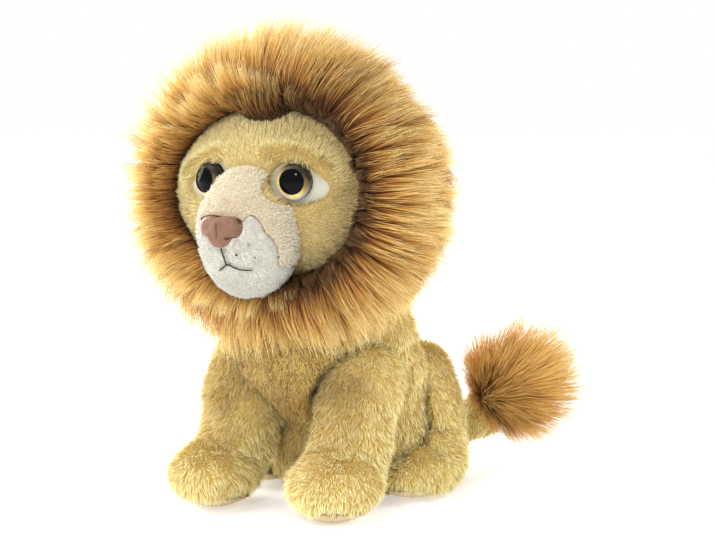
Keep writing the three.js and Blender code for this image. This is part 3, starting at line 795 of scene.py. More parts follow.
def plushOnTorso(skin):
    middle = (torsoLow[1] + torsoHigh[1]) / 2
    shapeStuffed("torso_skin", "torso", skin, 3)
    points, normals = surfaceOf(skin)
    flow = flowDown(points, normals, 3)
    chest = smoothStep(-points[:, 1], 0.3 * -torsoLow[1], 0.6 * -torsoLow[1])
    chest *= 1 - smoothStep(np.abs(points[:, 0]), 0.6 * torsoHigh[0], 0.9 * torsoHigh[0])
    low = smoothStep(points[:, 2], footZ, footZ * 4)
    reach = bodyLook["reach"] * (1 - bodyLook["chestShorter"] * chest)
    reach = bodyLook["shortReach"] + (reach - bodyLook["shortReach"]) * low
    coat = (points[:, 2] >= footZ * 0.8) & (points[:, 2] <= headLow[2] + bodyLook["neckCover"])
    # painted shadow on the chest under the mane, on top of an uneven tone
    shade = bodyLook["torsoShade"] + unevenShade(points, 8) - bodyLook["chestDarker"] * chest
    comb = flow + bodyLook["lift"] * normals
    for part, side in (("front", points[:, 1] < middle), ("back", points[:, 1] >= middle)):
        clearSpare(skin.data)
        setPile(skin, normals + 0.6 * flow, comb, reach, shade, coat & side)
        growPile(skin, "torso_pile_" + part, "torso", bodyPile, bodyLook["pile"], 31)
    finishSkin(skin, "torso", ["torso"], bodyBacking)


def makeBody():
    covers = stuffCovers()
    plushOnTorso(covers["torso"])
    for side, seed in (("left", 41), ("right", 42)):
        foreleg, hindLeg, fill = "foreleg_" + side, "hind_leg_" + side, bodyLook["legFill"]
        plushOnLimb("foreleg_skin_" + side, foreleg, foreleg, covers[foreleg], seed)
        plushOnLimb("hind_leg_skin_" + side, hindLeg, "torso", covers[hindLeg], seed + 10)
    plushOnLimb("tail_skin", "tail", "tail", covers["tail"], 61, bodyLook["tailReach"])
    print("body and legs", flush=True)


def makeSole(name, node, body, seed):
    skin = skinOf(name, [node], bodyLook["soleGrain"], 3)
    points, normals = surfaceOf(skin)
    flow = flowDown(points, normals, seed)
    coat = (normals[:, 2] > -0.6) * (points[:, 2] > bodyLook["soleBare"]) * 1.0
    comb = flow + bodyLook["lift"] * normals
    setPile(skin, normals + flow * 0.5, comb, bodyLook["soleReach"], 0.5, coat)
    growPile(skin, name + "_pile", body, solePile, bodyLook["solePile"], seed)
    finishSkin(skin, body, [node], soleBacking)


def makeSoles():
    for side, seed in (("left", 71), ("right", 72)):
        makeSole("forepaw_sole_skin_" + side, "forepaw_sole_" + side, "foreleg_" + side, seed)
        makeSole("hind_sole_skin_" + side, "hind_sole_" + side, "torso", seed + 2)
    makeSole("seat_skin", "seat_panel", "torso", 75)
    print("soles", flush=True)


makeBody()
makeSoles()


# head, face panels, nose and eyes

maneBrown = colour(96, 58, 30)


def headCloth(fade):
    # the head's own cloth is golden in the face and brown under the mane
    material = clothMaterial("head backing", colour(206, 178, 112), colour(180, 150, 88))
    tree = material.node_tree
    golden = tree.nodes["Principled BSDF"].inputs["Base Color"].links[0].from_socket
    depth = axesOf(tree, ownPlace(tree))["Y"]
    under = shareBetween(tree, depth, skullCentre[1], skullCentre[1] + fade)
    paint(material, blendColours(tree, "MIX", under, golden, maneBrown))
    return material


facePile = pileMaterial("face plush", ((0.0, 188, 158, 92), (0.35, 214, 190, 122), (0.8, 234, 218, 158),
                                       (1.0, 248, 238, 192)), (0.3, 0.22, 0.15), (1.12, 1.2, 1.3), 0.5)
faceBacking = headCloth(6 * mm)  # turns from golden to brown over this depth
creamPile = pileMaterial("cream fleece", ((0.0, 186, 172, 146), (0.4, 216, 208, 186), (1.0, 234, 228, 210)),
                         (0.86, 0.82, 0.76))
creamBacking = clothMaterial("cream backing", colour(214, 198, 168), colour(190, 170, 136))
whitePile = pileMaterial("white plush", ((0.0, 166, 164, 152), (0.4, 192, 190, 178), (1.0, 212, 211, 202)),
                         (0.88, 0.87, 0.84))
whiteBacking = clothMaterial("white backing", colour(218, 215, 204), colour(196, 192, 178))
feltMaterial = clothMaterial("white felt", colour(206, 203, 188), colour(188, 183, 166), grain=1500.0)
blackThread = clothMaterial("black thread", (0.012, 0.012, 0.012, 1), (0.004, 0.004, 0.004, 1), 2500.0, 0.6)
greyThread = clothMaterial("grey thread", (0.2, 0.2, 0.2, 1), (0.1, 0.1, 0.1, 1), 2500.0, 0.7)
# painted shadow: a brown strip standing in for the shade in the gap over the nose
gapShadowMaterial = clothMaterial("painted gap shadow", colour(84, 50, 34), colour(52, 30, 20), 2500.0, 0.8)

faceLook = {
    "headGrain": 1.3 * mm,
    "panelGrain": 0.8 * mm,
    "faceReach": 3.2 * mm,
    "browReach": 5.4 * mm,
    "lipReach": 1.3 * mm,
    "chinReach": 2.0 * mm,
    "fleeceReach": 1.5 * mm,
    "fill": 0.9,
    "openingHalfWidth": 60 * mm,
    "openingHalfHeight": 47 * mm,
    "mouthThread": 0.3 * mm,
    "onPile": 1.2 * mm,  # height of the threads over the cloth
    # radius and height of the brown strip of painted shadow in the gap over the nose
    "gapShadowRadius": 1.0 * mm,
    "gapHeight": 3.0 * mm,
    "snug": 0.9 * mm,  # what lies closer than this covers the skin
    "bareUnderPanels": 6 * mm,
    "bareUnderNose": 3 * mm,
    "shade": 0.55,
    "shadeWander": 0.14,
    "shadeSize": 14 * mm,
    "forehead": (12 * mm, 34 * mm),  # heights over the skull's middle between which painted light makes it lighter
    "foreheadHalf": (8 * mm, 26 * mm),
    "browFur": (1 * mm, 6 * mm),  # how far the brow's longer fur reaches from its line
    "browGlow": (2 * mm, 14 * mm),
    "cheek": (30 * mm, 55 * mm),
    # painted light on the forehead and brows, painted shade round the face's edge and on the lion's left
    # cheek
    "foreheadLighter": 0.2,
    "browLighter": 0.5,
    "edgeDarker": 0.3,
    "cheekDarker": 0.3,
    "pile": {"Density": 3.1e6, "Joints": 3, "Width": 0.29 * mm, "Ragged": 0.4, "Clump size": 3.4 * mm,
             "Clump pull": 0.22, "Curl": 0.6, "Curl size": 6.0 * mm, "Stray": 0.16, "Tilt": 0.6,
             "Shade spread": 0.16},
    "fleece": {"Density": 3.4e6, "Joints": 4, "Width": 0.32 * mm, "Ragged": 0.3, "Clump size": 1.5 * mm,
               "Clump pull": 0.7, "Curl": 1.5, "Curl size": 1.5 * mm, "Stray": 0.1, "Tilt": 0.8,
               "Shade spread": 0.15},
    "white": {"Density": 3.8e6, "Joints": 3, "Width": 0.28 * mm, "Ragged": 0.4, "Clump size": 2.4 * mm,
              "Clump pull": 0.2, "Curl": 0.7, "Curl size": 4.0 * mm, "Stray": 0.2, "Tilt": 0.7,
              "Shade spread": 0.12},
}

# lines of the photographed face, in its pixels
faceLines = {
    "near brow": ((268, 155), (280, 154), (294, 156), (310, 161), (326, 169)),
    "far brow": ((190, 173), (197, 166), (208, 159), (218, 155)),
    "near frown": ((276, 138), (273, 146), (270, 153)),
    "far frown": ((229, 142), (228, 149), (227, 156)),
    "bridge seam": ((281, 186), (268, 198), (257, 209), (250, 216)),
    "nose gap": ((206.5, 217.5), (215, 215.5), (226, 217), (236, 218.8), (243.5, 220.5)),
    "mouth stem": ((222.4, 247.5), (223.4, 252), (225.2, 257), (227.3, 263.5)),
    "mouth far": ((227.3, 263.5), (224.4, 266.4), (220.4, 269.2)),
    "mouth near": ((227.3, 263.5), (230.6, 264.2), (235.5, 266.6), (242.4, 268.6), (252.4, 269.0)),
}

# whisker dots: both ends of each stitch, its radius and its thread
whiskerDots = (
    ((236.4, 253.4), (238.2, 254.5), 0.5 * mm, blackThread),
    ((255.0, 256.3), (256.4, 257.2), 0.34 * mm, greyThread),
    ((248.2, 243.6), (249.3, 244.3), 0.34 * mm, greyThread),
    ((200.0, 245.2), (200.5, 246.4), 0.34 * mm, greyThread),
)

# how wide and how deep each line is pressed in, or swells where the depth is negative
faceFolds = {
    "near brow": (5.0 * mm, -2.4 * mm),
    "far brow": (4.5 * mm, -2.0 * mm),
    "near frown": (3.0 * mm, 1.0 * mm),
    "far frown": (2.6 * mm, 0.9 * mm),
    "bridge seam": (1.3 * mm, 0.9 * mm),
    "mouth": (1.3 * mm, 0.8 * mm),
}


def coveredBy(points, normals, tree, reach):
    # true where something of the tree lies just outside the skin
    covered = np.zeros(len(points), dtype=bool)
    for i, (point, normal) in enumerate(zip(points, normals)):
        hit = tree.ray_cast(Vector(point), Vector(normal), reach)
        near = tree.find_nearest(Vector(point), faceLook["snug"])
        covered[i] = hit[0] is not None or near[0] is not None
    return covered


def pilePanel(skin, name, nodes, pileLook, material, backing, reach, centre, seed, blocked):
    points, normals = surfaceOf(skin)
    flow = alongSkin(points - centre + np.array([0, 0, -6 * mm]), normals)
    fromMiddle = points - skullCentre
    inner = dots(fromMiddle, normals)[:, 0] < 0.2 * np.linalg.norm(fromMiddle, axis=1)
    coat = 1.0 - inner
    coat[coveredBy(points, normals, blocked, faceLook["bareUnderNose"])] = 0
    setPile(skin, normals + 0.5 * flow, flow + 0.7 * normals, reach(points), 0.5, coat)
    growPile(skin, name, "head", material, pileLook, seed)
    finishSkin(skin, "head", nodes, backing)


def threadAndShadowTube(name, tree, line, radius, height, material):
    # a thread lying on the pile along a photographed line; the same tube in brown is the painted shadow in
    # the gap over the nose
    spots = seenOn(tree, line)
    data = bpy.data.curves.new(name, "CURVE")
    data.dimensions = "3D"
    data.bevel_depth = radius
    data.bevel_resolution = 2
    data.use_fill_caps = True
    data.resolution_u = 6
    spline = data.splines.new("BEZIER")
    spline.bezier_points.add(len(spots) - 1)
    outward = unitRows(spots - skullCentre)
    for knot, spot in zip(spline.bezier_points, spots + outward * height):
        knot.co = spot
        knot.handle_left_type = knot.handle_right_type = "AUTO"
    shaper = addObject(name + " path", data)
    mesh = finishedMesh(shaper)
    bpy.data.objects.remove(shaper)
    mesh.name = name
    mesh.materials.clear()
    mesh.materials.append(material)
    piece = addObject(name, mesh)
    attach(piece, "head")


def sewFaceAndGapShadow(white, bridge):
    lips = treeOf([white])
    for name in ("mouth stem", "mouth far", "mouth near"):
        threadAndShadowTube(name.replace(" ", "_") + "_thread", lips, faceLines[name], faceLook["mouthThread"],
            faceLook["onPile"], blackThread)
    for index, (start, end, radius, material) in enumerate(whiskerDots):
        threadAndShadowTube("whisker_stitch_" + str(index + 1), lips, (start, end), radius, faceLook["onPile"], material)
    # a brown strip of painted shadow along the gap between the nose and the fleece over it
    threadAndShadowTube("nose_gap_shadow", treeOf([bridge, white]), faceLines["nose gap"], faceLook["gapShadowRadius"],
        faceLook["gapHeight"], gapShadowMaterial)


def makeFace():
    bridge = skinOf("bridge_skin", ["muzzle_bridge"], faceLook["panelGrain"], 4)
    dent(bridge, faceLines["bridge seam"], *faceFolds["bridge seam"])
    white = skinOf("muzzle_white_skin", ["lip_left", "lip_right", "chin"], faceLook["panelGrain"], 7)
    for name in ("mouth stem", "mouth far", "mouth near"):
        dent(white, faceLines[name], *faceFolds["mouth"])
    felts = [skinOf("felt_" + side, ["eye_white_" + side], 0.5 * mm, 3) for side in ("left", "right")]
    nose = mergedCopy("nose copy", ["nose"])
    eyes = mergedCopy("eyes copy", ["eye_post_left", "eye_post_right", "eye_dome_left", "eye_dome_right"])
    noseBox = boxOf("nose")
    noseMiddle = (noseBox[0] + noseBox[1]) / 2
    lipEdge = boxOf("chin")[1][2]
    blocked = treeOf([nose])
    sewFaceAndGapShadow(white, bridge)

    def fleeceReach(points):
        return np.full(len(points), faceLook["fleeceReach"])

    def whiteReach(points):
        below = smoothStep(lipEdge - points[:, 2], 0, 12 * mm)
        return faceLook["lipReach"] + (faceLook["chinReach"] - faceLook["lipReach"]) * below

    pilePanel(bridge, "bridge_pile", ["muzzle_bridge"], faceLook["fleece"], creamPile,
              creamBacking, fleeceReach, noseMiddle, 81, blocked)
    pilePanel(white, "muzzle_white_pile", ["lip_left", "lip_right", "chin"], faceLook["white"],
              whitePile, whiteBacking, whiteReach, noseMiddle, 82, blocked)
    makeHead(noseMiddle, [bridge, white, *felts, eyes])
    for side, felt in zip(("left", "right"), felts):
        finishSkin(felt, "head", ["eye_white_" + side], feltMaterial)
    for copy in (nose, eyes):
        bpy.data.objects.remove(copy)
    print("face", flush=True)


def makeHead(noseMiddle, panels):
    head = skinOf("head_skin", ["head"], faceLook["headGrain"], 8)
    bare = treeOf([head])
    brows = [seenOn(bare, faceLines[name]) for name in ("near brow", "far brow")]
    for name in ("near brow", "far brow", "near frown", "far frown"):
        dent(head, faceLines[name], *faceFolds[name])
    points, normals = surfaceOf(head)
    toBrow = np.minimum(distanceTo(points, brows[0]), distanceTo(points, brows[1]))
    overEye = (1 - smoothStep(toBrow, *faceLook["browFur"]))[:, None]
    flow = alongSkin(points - noseMiddle, normals)
    down = alongSkin(np.array([0, -0.6, -1.0]) + 0 * points, normals)
    flow = flow * (1 - overEye) + 0.6 * down * overEye
    across = points[:, 0] / faceLook["openingHalfWidth"]
    up = (points[:, 2] - skullCentre[2]) / faceLook["openingHalfHeight"]
    coat = ((across ** 2 + up ** 2 < 1) & (points[:, 1] < skullCentre[1])) * 1.0
    coat[coveredBy(points, normals, treeOf(panels), faceLook["bareUnderPanels"])] = 0
    reach = faceLook["faceReach"] + (faceLook["browReach"] - faceLook["faceReach"]) * overEye[:, 0]
    low, high = faceLook["forehead"]
    forehead = smoothStep(points[:, 2], skullCentre[2] + low, skullCentre[2] + high)
    forehead *= 1 - smoothStep(np.abs(points[:, 0]), *faceLook["foreheadHalf"])
    shade = faceLook["shade"] + faceLook["shadeWander"] * noiseRows(points, faceLook["shadeSize"], 9)[:, 0]
    # painted light on the forehead and brows, painted shade round the face's edge and on the lion's left
    # cheek
    shade += faceLook["foreheadLighter"] * forehead
    shade += faceLook["browLighter"] * (1 - smoothStep(toBrow, *faceLook["browGlow"]))
    shade -= faceLook["edgeDarker"] * smoothStep(across ** 2 + up ** 2, 0.75, 1.0)
    shade -= faceLook["cheekDarker"] * smoothStep(points[:, 0], *faceLook["cheek"])
    setPile(head, normals + 0.5 * flow, flow + 0.6 * normals, reach, shade, coat)
    growPile(head, "face_pile", "head", facePile, faceLook["pile"], 85)
    finishSkin(head, "head", ["head"], faceBacking)


def nosePlastic():
    material = spottedMaterial("rose plastic", colour(110, 76, 57), colour(134, 95, 73), 260.0, 3.0,
                               Roughness=0.36, Specular_IOR_Level=0.45)[0]
    tree = material.node_tree
    addRelief(material, noiseOn(tree, ownPlace(tree), 2400.0, 2.0)["Fac"], 0.12, 0.1 * mm)
    return material


def blackPlastic():
    return spottedMaterial("black plastic", (0.003, 0.003, 0.003, 1), (0.007, 0.006, 0.006, 1), 300.0,
                           Roughness=0.4, Specular_IOR_Level=0.02)[0]


def washerPlastic():
    return spottedMaterial("white washer", (0.74, 0.74, 0.72, 1), (0.82, 0.82, 0.8, 1), 400.0,
                           Roughness=0.5)[0]


eyeLook = {
    "steps": 56,  # points round the dome
    "rings": 12,
    "rimShare": 0.15,
    "edge": 0.25 * mm,
    "print": ((0.3, 70, 56, 34), (0.55, 104, 86, 50), (0.8, 140, 120, 76)),
    "gold": ((0.06, 232, 192, 164), (0.26, 232, 212, 124), (0.55, 150, 124, 66), (0.85, 58, 52, 44)),
    "clear": ((0.15, 206, 200, 184), (0.5, 150, 140, 122), (0.8, 46, 42, 38)),
    "darkTowards": (0.5, 0.0, 0.86),  # painted light and painted reflection: print and rim get lighter away from this side and dark grey towards it
    "irisHalf": 9 * mm,  # half the height that the ring's painted light runs over, lighter below and darker above
    "pupilShare": 0.72,  # of the dome's radius
    "printShare": 0.9,
}


def irisPrintAndPaintedLight(centre):
    # gold rays of the print, with painted light towards the lower edge and painted shade towards the top
    material, tree = newMaterial("gold iris", Roughness=0.35, Metallic=0.15)
    shifted = addNode(tree, "ShaderNodeMapping", [("Vector", ownPlace(tree)),
                                                  ("Location", tuple(-centre))]).outputs[0]
    gold = ramp(tree, noiseOn(tree, shifted, 900.0, 5.0)["Fac"], tones(eyeLook["print"]))
    share = calc(tree, "MULTIPLY_ADD", axesOf(tree, shifted)["Z"], 0.5 / eyeLook["irisHalf"])
    share.node.inputs[2].default_value = 0.5
    fade = ramp(tree, share, [(0.0, (1.15, 1.1, 1.0, 1)), (0.5, (0.9, 0.88, 0.8, 1)),
                              (0.95, (0.22, 0.2, 0.2, 1))])
    paint(material, blendColours(tree, "MULTIPLY", 1.0, gold, fade))
    return material


def outsideOf(tree, share, edge):
    # white beyond a ring of the eye, black within it
    return ramp(tree, share, [(edge - 0.02, (0, 0, 0, 1)), (edge + 0.02, (1, 1, 1, 1))])


def glossyEye(centre, axis, radius):
    # pupil, gold print and clear rim as they show through the dome, ring by ring round its axis, with painted
    # light and a painted reflection across them
    material, tree = newMaterial("glossy eye", Roughness=0.03, Specular_IOR_Level=0.07)
    offset = calcVector(tree, "SUBTRACT", ownPlace(tree), tuple(centre))
    depth = scaled(tree, tuple(axis), dotted(tree, offset, tuple(axis)))
    flat = calcVector(tree, "SUBTRACT", offset, depth)
    length = addNode(tree, "ShaderNodeVectorMath", [(0, flat)], operation="LENGTH").outputs["Value"]
    share = calc(tree, "DIVIDE", length, radius)
    rays = noiseOn(tree, offset, 1100.0, 5.0)["Fac"]
    glint = ramp(tree, rays, [(0.3, (0.7, 0.7, 0.7, 1)), (0.75, (1.25, 1.25, 1.25, 1))])
    # painted light and painted reflection: lighter towards the lower side, dark grey towards darkTowards
    level = shareBetween(tree, dotted(tree, offset, eyeLook["darkTowards"]), -radius, radius)
    gold = blendColours(tree, "MULTIPLY", 1.0, ramp(tree, level, tones(eyeLook["gold"])), glint)
    pupil = (0.003, 0.003, 0.003, 1)
    irisWithPaintedLight = blendColours(tree, "MIX", outsideOf(tree, share, eyeLook["pupilShare"]), pupil, gold)
    clear = ramp(tree, level, tones(eyeLook["clear"]))
    whole = blendColours(tree, "MIX", outsideOf(tree, share, eyeLook["printShare"]), irisWithPaintedLight, clear)
    paint(material, whole)
    return material


def paintKept(node, material):
    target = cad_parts[node]
    for index in range(len(target.data.materials)):
        target.data.materials[index] = material


def makeLens(side):
    # a rounder dome in the place and size of the solid's
    copy = mergedCopy("dome copy", ["eye_dome_" + side])
    points = pointsOf(copy.data)
    bpy.data.objects.remove(copy)
    middle = points.mean(axis=0)
    axis = np.linalg.svd(points - middle)[2][2]
    axis *= -np.sign(axis[1])
    depth = (points - middle) @ axis
    radius = np.linalg.norm(points - middle - depth[:, None] * axis, axis=1).max()
    back, front = depth.min(), depth.max()
    rim = back + (front - back) * eyeLook["rimShare"]
    profile = [(radius - eyeLook["edge"], back), (radius, back + eyeLook["edge"])]
    for index in range(eyeLook["rings"]):
        turn = radians(90) * index / eyeLook["rings"]
        profile.append((radius * cos(turn), rim + (front - rim) * sin(turn)))
    aside = np.cross(axis, (0, 0, 1))
    aside /= np.linalg.norm(aside)
    upright = np.cross(axis, aside)
    turns = [radians(360) * step / eyeLook["steps"] for step in range(eyeLook["steps"])]
    ways = [aside * cos(turn) + upright * sin(turn) for turn in turns]
    shape = bmesh.new()
    rings = [[shape.verts.new(middle + axis * along + out * way) for way in ways] for out, along in profile]
    for low, high in zip(rings[:-1], rings[1:]):
        for step in range(len(ways)):
            shape.faces.new((low[step - 1], low[step], high[step], high[step - 1]))
    for ring, along in ((rings[0], back), (rings[-1], front)):
        pole = shape.verts.new(middle + axis * along)
        for step in range(len(ways)):
            shape.faces.new((ring[step - 1], ring[step], pole))
    bmesh.ops.recalc_face_normals(shape, faces=shape.faces)
    mesh = bpy.data.meshes.new("eye_lens_" + side)
    shape.to_mesh(mesh)
    shape.free()
    mesh.shade_smooth()
    mesh.materials.append(glossyEye(middle, axis, radius))
    lens = addObject("eye_lens_" + side, mesh)
    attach(lens, "head")
    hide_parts("eye_dome_" + side)


def makeEyes():
    black, washer = blackPlastic(), washerPlastic()
    for side in ("left", "right"):
        low, high = boxOf("iris_ring_" + side)
        paintKept("iris_ring_" + side, irisPrintAndPaintedLight((low + high) / 2))
        paintKept("eye_post_" + side, black)
        paintKept("eye_washer_" + side, washer)
        makeLens(side)
    paintKept("nose", nosePlastic())
    paintKept("nose_washer", washer)
    print("eyes and nose", flush=True)


makeFace()
makeEyes()


# mane and tail tuft

manePile = pileMaterial("mane fur", ((0.0, 74, 42, 24), (0.2, 136, 84, 40), (0.45, 184, 128, 60),
                                     (0.75, 216, 174, 96), (1.0, 242, 222, 160)),
                        (0.1, 0.05, 0.028), (1.12, 1.25, 1.4), 0.2)
tuftPile = pileMaterial("tuft fur", ((0.0, 134, 88, 44), (0.25, 188, 138, 70), (0.6, 218, 176, 102),
                                     (1.0, 236, 208, 138)), (0.5, 0.4, 0.3), sheen=0.2)
maneBacking = clothMaterial("mane backing", maneBrown, colour(62, 36, 20))

maneLook = {
    "grain": 2.2 * mm,
    "thicknessShare": 0.6,  # how deep the close undercoat is, of the whole mane
    "reach": 32 * mm,
    "chinReach": 34 * mm,
    "beyond": 2.5 * mm,  # tips stand this far out of the mane's outer form
    "blown": 1.5 * mm,  # the fur lies a little to one side, as in the photo
    "openingHalfWidth": 57 * mm,
    "openingHalfHeight": 45 * mm,
    "lockWidth": 15 * mm,  # forelock over the forehead
    "lockHeights": (20 * mm, 36 * mm),  # over the skull's middle, where it begins
    "uneven": 0.16,
    "unevenSize": 16 * mm,
    "skullGap": 1.2 * mm,  # skin closer to the skull than this stays bare
    "wallDepth": 4 * mm,  # the wall of the face opening ends this far behind the skull's middle
    "deepRoom": (7 * mm, 17 * mm),  # with this much room in front, its strands come forward
    "puff": 7 * mm,
    "nearWallShorter": 0.35,
    "bulgeNarrow": 14,  # the higher, the narrower the bulges
    "bulges": (((0.92, -0.39), 3 * mm), ((0.8, 0.6), -4 * mm), ((-0.62, -0.78), 6 * mm),
               ((-0.7, 0.71), 3 * mm), ((-0.2, 0.98), 2.5 * mm)),  # across and up, and how much longer
    "ringShade": 0.28,  # close round the face, where the fur is darkest: its own dark roots and painted shade in the recess
    "ringDark": (0.98, 1.16),  # the dark ring ends between these shares of the opening
    "outerLighter": 0.42,
    "topHeight": 40 * mm,
    "shadeWander": 0.22,
    "shadeSize": 22 * mm,
    "backShade": 0.72,
    # painted shade on the mane's lower part
    "belowDarker": 0.05,
    "nearDarker": 0.22,  # painted shade on the lion's left half
    # painted shade at the top and on the wall of the lion's left half, painted light at that half's outer
    # edge
    "nearTopDarker": 0.2,
    "nearWallDarker": 0.5,
    "nearEdgeLighter": 0.26,
    "farLighter": 0.38,  # painted light on the lion's right half
    "pile": {"Density": 1.42e6, "Joints": 5, "Width": 0.35 * mm, "Ragged": 0.45, "Clump size": 10 * mm,
             "Clump pull": 0.54, "Curl": 0.34, "Curl size": 20 * mm, "Stray": 0.08, "Tilt": 0.7,
             "Shade spread": 0.24},
}


def roomInMane(points, ways):
    # how far each point can go along its way before it leaves the mane's outer form
    start = (points - maneCentre + np.array([maneLook["blown"], 0, 0])) / maneRadii
    ray = ways / maneRadii
    square, half = dots(ray, ray)[:, 0], dots(start, ray)[:, 0]
    rest = dots(start, start)[:, 0] - 1
    return (-half + np.sqrt(np.maximum(half ** 2 - square * rest, 0))) / square


def undercoat(node):
    # the skin that the strands stand on, between the skull and the outer form
    skin = skinOf(node + "_skin", [node], maneLook["grain"], 6)
    outer = pointsOf(skin.data)
    fromSkull = np.linalg.norm((outer - skullCentre) / skullRadii, axis=1, keepdims=True)
    onSkull = skullCentre + (outer - skullCentre) / np.maximum(fromSkull, 1e-6)
    putPoints(skin.data, onSkull + (outer - onSkull) * maneLook["thicknessShare"])
    return skin


def maneShade(points, radial, ring, behind, below, turned, wall, seed):
    # dark close round the face, its dark roots and painted shade in the recess, golden farther out, and even
    # at the back; painted light on the lion's right half and at the outer edge of its left half, painted
    # shade on the rest of the left half and on the lower part
    uneven = maneLook["shadeWander"] * noiseRows(points, maneLook["shadeSize"], seed)[:, 0]
    above = smoothStep(points[:, 2] - skullCentre[2], 0, maneLook["topHeight"])
    far = smoothStep(-radial[:, 0], 0.1, 0.8)
    shade = maneLook["ringShade"] + maneLook["outerLighter"] * smoothStep(ring, *maneLook["ringDark"])
    shade += uneven + maneLook["farLighter"] * far - maneLook["belowDarker"] * below
    shade += maneLook["nearEdgeLighter"] * turned * smoothStep(ring, 1.22, 1.42)
    shade -= turned * (maneLook["nearDarker"] + maneLook["nearTopDarker"] * above)
    shade -= turned * maneLook["nearWallDarker"] * wall
    return shade + (maneLook["backShade"] + uneven - shade) * behind


def maneFlow(normals, radial, behind, below):
    # outwards from the face, and down at the back and below the chin
    away = radial * (1 - 0.75 * behind) + np.array([0, 0.4, 0]) + behind * np.array([0, 0.3, -0.9])
    away = away * (1 - 0.5 * below) + below * np.array([0, -0.05, -0.9])
    return alongSkin(away, normals)


def forelock(points, ring, front):
    # how much each point belongs to the forelock, which fans up from its peak
    width = maneLook["lockWidth"]
    low, high = maneLook["lockHeights"]
    lock = smoothStep(points[:, 2], skullCentre[2] + low, skullCentre[2] + high)
    lock *= (1 - smoothStep(np.abs(points[:, 0]), 0.5 * width, width)) * front
    lock = (lock * (1 - smoothStep(ring, 0.95, 1.25)))[:, None]
    fan = np.array([0, -0.2, 1.0]) + points * np.array([1, 0, 0]) / width * 0.8
    return lock, unitRows(fan)


def makeManePart(node, seed):
    skin = undercoat(node)
    points, normals = surfaceOf(skin)
    radial = unitRows((points - skullCentre) * np.array([1, 0, 1]))
    behind = smoothStep(points[:, 1], skullCentre[1], headHigh[1])[:, None]
    below = smoothStep(skullCentre[2] - points[:, 2], 10 * mm, 60 * mm)[:, None]
    flow = maneFlow(normals, radial, behind, below)

    # strands rise off the skin, then lie over so that their tips end on the outer form
    reach = maneLook["reach"] + (maneLook["chinReach"] - maneLook["reach"]) * below[:, 0]
    reach = reach * (1 + maneLook["uneven"] * noiseRows(points, maneLook["unevenSize"], seed + 3)[:, 1])
    room = np.maximum(roomInMane(points, normals), 0)
    lift = np.clip(2 * room / reach - 0.5, -0.1, 0.8)[:, None]
    rise = normals * 0.6 + flow * 0.8
    comb = normals * lift + flow * np.sqrt(1 - lift ** 2)

    # round the face opening they come forward off the wall, and puff over the face's edge
    ring = np.sqrt((points[:, 0] / maneLook["openingHalfWidth"]) ** 2
                   + ((points[:, 2] - skullCentre[2]) / maneLook["openingHalfHeight"]) ** 2)
    front = points[:, 1] < skullCentre[1] + maneLook["wallDepth"]
    facing = -dots(radial, normals)[:, 0]
    wall = (smoothStep(facing, -0.35, 0.25) * front)[:, None]
    forward = roomInMane(points, np.array([0, -1, 0]) + 0 * points)
    deep = smoothStep(forward, *maneLook["deepRoom"])[:, None]
    turned = smoothStep(radial[:, 0], -0.2, 0.7)[:, None]
    off = np.array([0, -1.0, 0]) - radial * 0.3
    shallow = radial * 0.8 + np.array([0, -0.5, 0])
    rise = unitRows(rise) * (1 - wall) + (off * deep + shallow * (1 - deep)) * wall
    comb = unitRows(comb) * (1 - wall) + (radial + np.array([0, -0.15, 0])) * wall
    lean = unitRows(unitRows(rise) + unitRows(comb))
    room = np.maximum(roomInMane(points, unitRows(lean + radial * wall)), 0)
    reach = np.minimum(reach, room * 1.1 + maneLook["beyond"] + maneLook["puff"])
    reach *= 1 - maneLook["nearWallShorter"] * (wall * turned)[:, 0]
    for (across, up), extra in maneLook["bulges"]:
        nearness = np.clip(dots(radial, np.array([across, 0, up]))[:, 0], 0, 1) ** maneLook["bulgeNarrow"]
        reach += extra * nearness * (1 - behind[:, 0])

    lock, fan = forelock(points, ring, front)
    rise = unitRows(rise) * (1 - lock) + (np.array([0, -0.9, 0.35]) + 0 * points) * lock
    comb = unitRows(comb) * (1 - lock) + fan * lock

    # no fur grows on the side that lies on the head, but the thin back is covered too
    inside = np.linalg.norm((points - skullCentre) / (skullRadii + maneLook["skullGap"]), axis=1) < 1
    inside &= (dots(points - skullCentre, normals)[:, 0] < 0) | (behind[:, 0] < 0.3)
    coat = (1.0 - inside) * (1 + 0.6 * wall[:, 0]) * (1 - 0.35 * behind[:, 0])
    shade = maneShade(points, radial, ring, behind[:, 0], below[:, 0], turned[:, 0], wall[:, 0], seed)
    for part, half in (("front", behind[:, 0] < 0.3), ("back", behind[:, 0] >= 0.3)):
        clearSpare(skin.data)
        setPile(skin, rise, comb, reach, shade, coat * half)
        growPile(skin, node + "_fur_" + part, "head", manePile, maneLook["pile"], seed)
    finishSkin(skin, "head", [node], maneBacking)


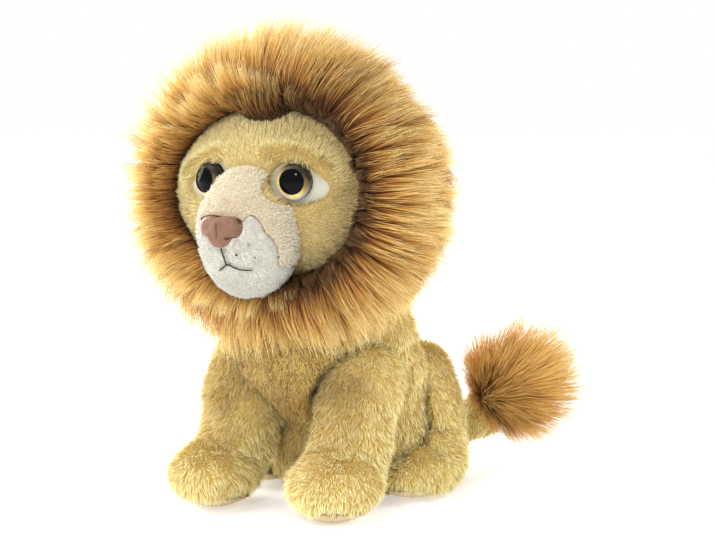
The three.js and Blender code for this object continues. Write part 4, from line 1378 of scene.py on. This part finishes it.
tuftLook = {
    "farthest": 108 * mm,  # the longest tips end here, to the side
    "grain": 2.0 * mm,
    "lift": 6 * mm,  # how far above the tail's tip the strands spring from
    "fan": (0.95, 1.05, 1.0),  # how wide they fan out along each axis
    "sweep": 0.25,  # and how much they follow the tail's end
    "length": 1.42,  # share of the way to the tuft's outer form
    "lockLength": 0.42,  # how much longer or shorter a lock is
    "lockSize": 5 * mm,
    "shade": 0.62,
    "shadeWander": 0.3,
    "shadeSize": 8 * mm,
    "coreShare": 0.35,  # size of the knot that the strands grow from, of the whole tuft
    "pile": {"Density": 5.4e6, "Joints": 5, "Width": 0.36 * mm, "Ragged": 0.4, "Clump size": 4.5 * mm,
             "Clump pull": 0.7, "Curl": 0.3, "Curl size": 14 * mm, "Stray": 0.12, "Tilt": 0.8,
             "Shade spread": 0.4},
}


def makeTuft():
    skin = skinOf("tuft_skin", ["tail_tuft"], tuftLook["grain"], 4)
    outer = pointsOf(skin.data)
    tailPoints = pointsOf(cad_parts["tail"].data)
    middle = outer.mean(axis=0)
    nearest = tailPoints[np.argsort(np.linalg.norm(tailPoints - middle, axis=1))[:12]].mean(axis=0)
    nearest += np.array([0, 0, tuftLook["lift"]])
    putPoints(skin.data, nearest + (outer - nearest) * tuftLook["coreShare"])
    points, normals = surfaceOf(skin)
    ways = (outer - points) * np.array(tuftLook["fan"])
    along = unitRows((middle - nearest)[None, :])
    ways += tuftLook["sweep"] * np.linalg.norm(ways, axis=1, keepdims=True) * along
    share = tuftLook["length"] + tuftLook["lockLength"] * noiseRows(points, tuftLook["lockSize"], 5)[:, 0]
    reach = np.linalg.norm(outer - points, axis=1) * share
    room = (tuftLook["farthest"] - points[:, 0]) / np.maximum(unitRows(ways)[:, 0], 0.01)
    reach = np.minimum(reach, room)
    shade = tuftLook["shade"] + tuftLook["shadeWander"] * noiseRows(points, tuftLook["shadeSize"], 7)[:, 0]
    setPile(skin, unitRows(ways) + 0.2 * normals, ways, reach, shade, 1.0)
    growPile(skin, "tuft_fur", "tail", tuftPile, tuftLook["pile"], 97)
    finishSkin(skin, "tail", ["tail_tuft"], maneBacking)
    print("tail tuft", flush=True)


for index, node in enumerate(("mane_crown", "mane_left", "mane_right")):
    makeManePart(node, 91 + index)
makeTuft()


# inner pouch

pouchLook = {
    "grain": 1.2 * mm,
    "smoothing": 6,
    "fill": 0.7,
}


def makePouch():
    cloth = clothMaterial("pouch cotton", colour(232, 228, 216), colour(205, 198, 182))
    skin = skinOf("pouch_skin", ["pellet_pouch"], pouchLook["grain"], pouchLook["smoothing"])
    finishSkin(skin, "torso", ["pellet_pouch"], cloth)
    print("pouch", flush=True)


makePouch()
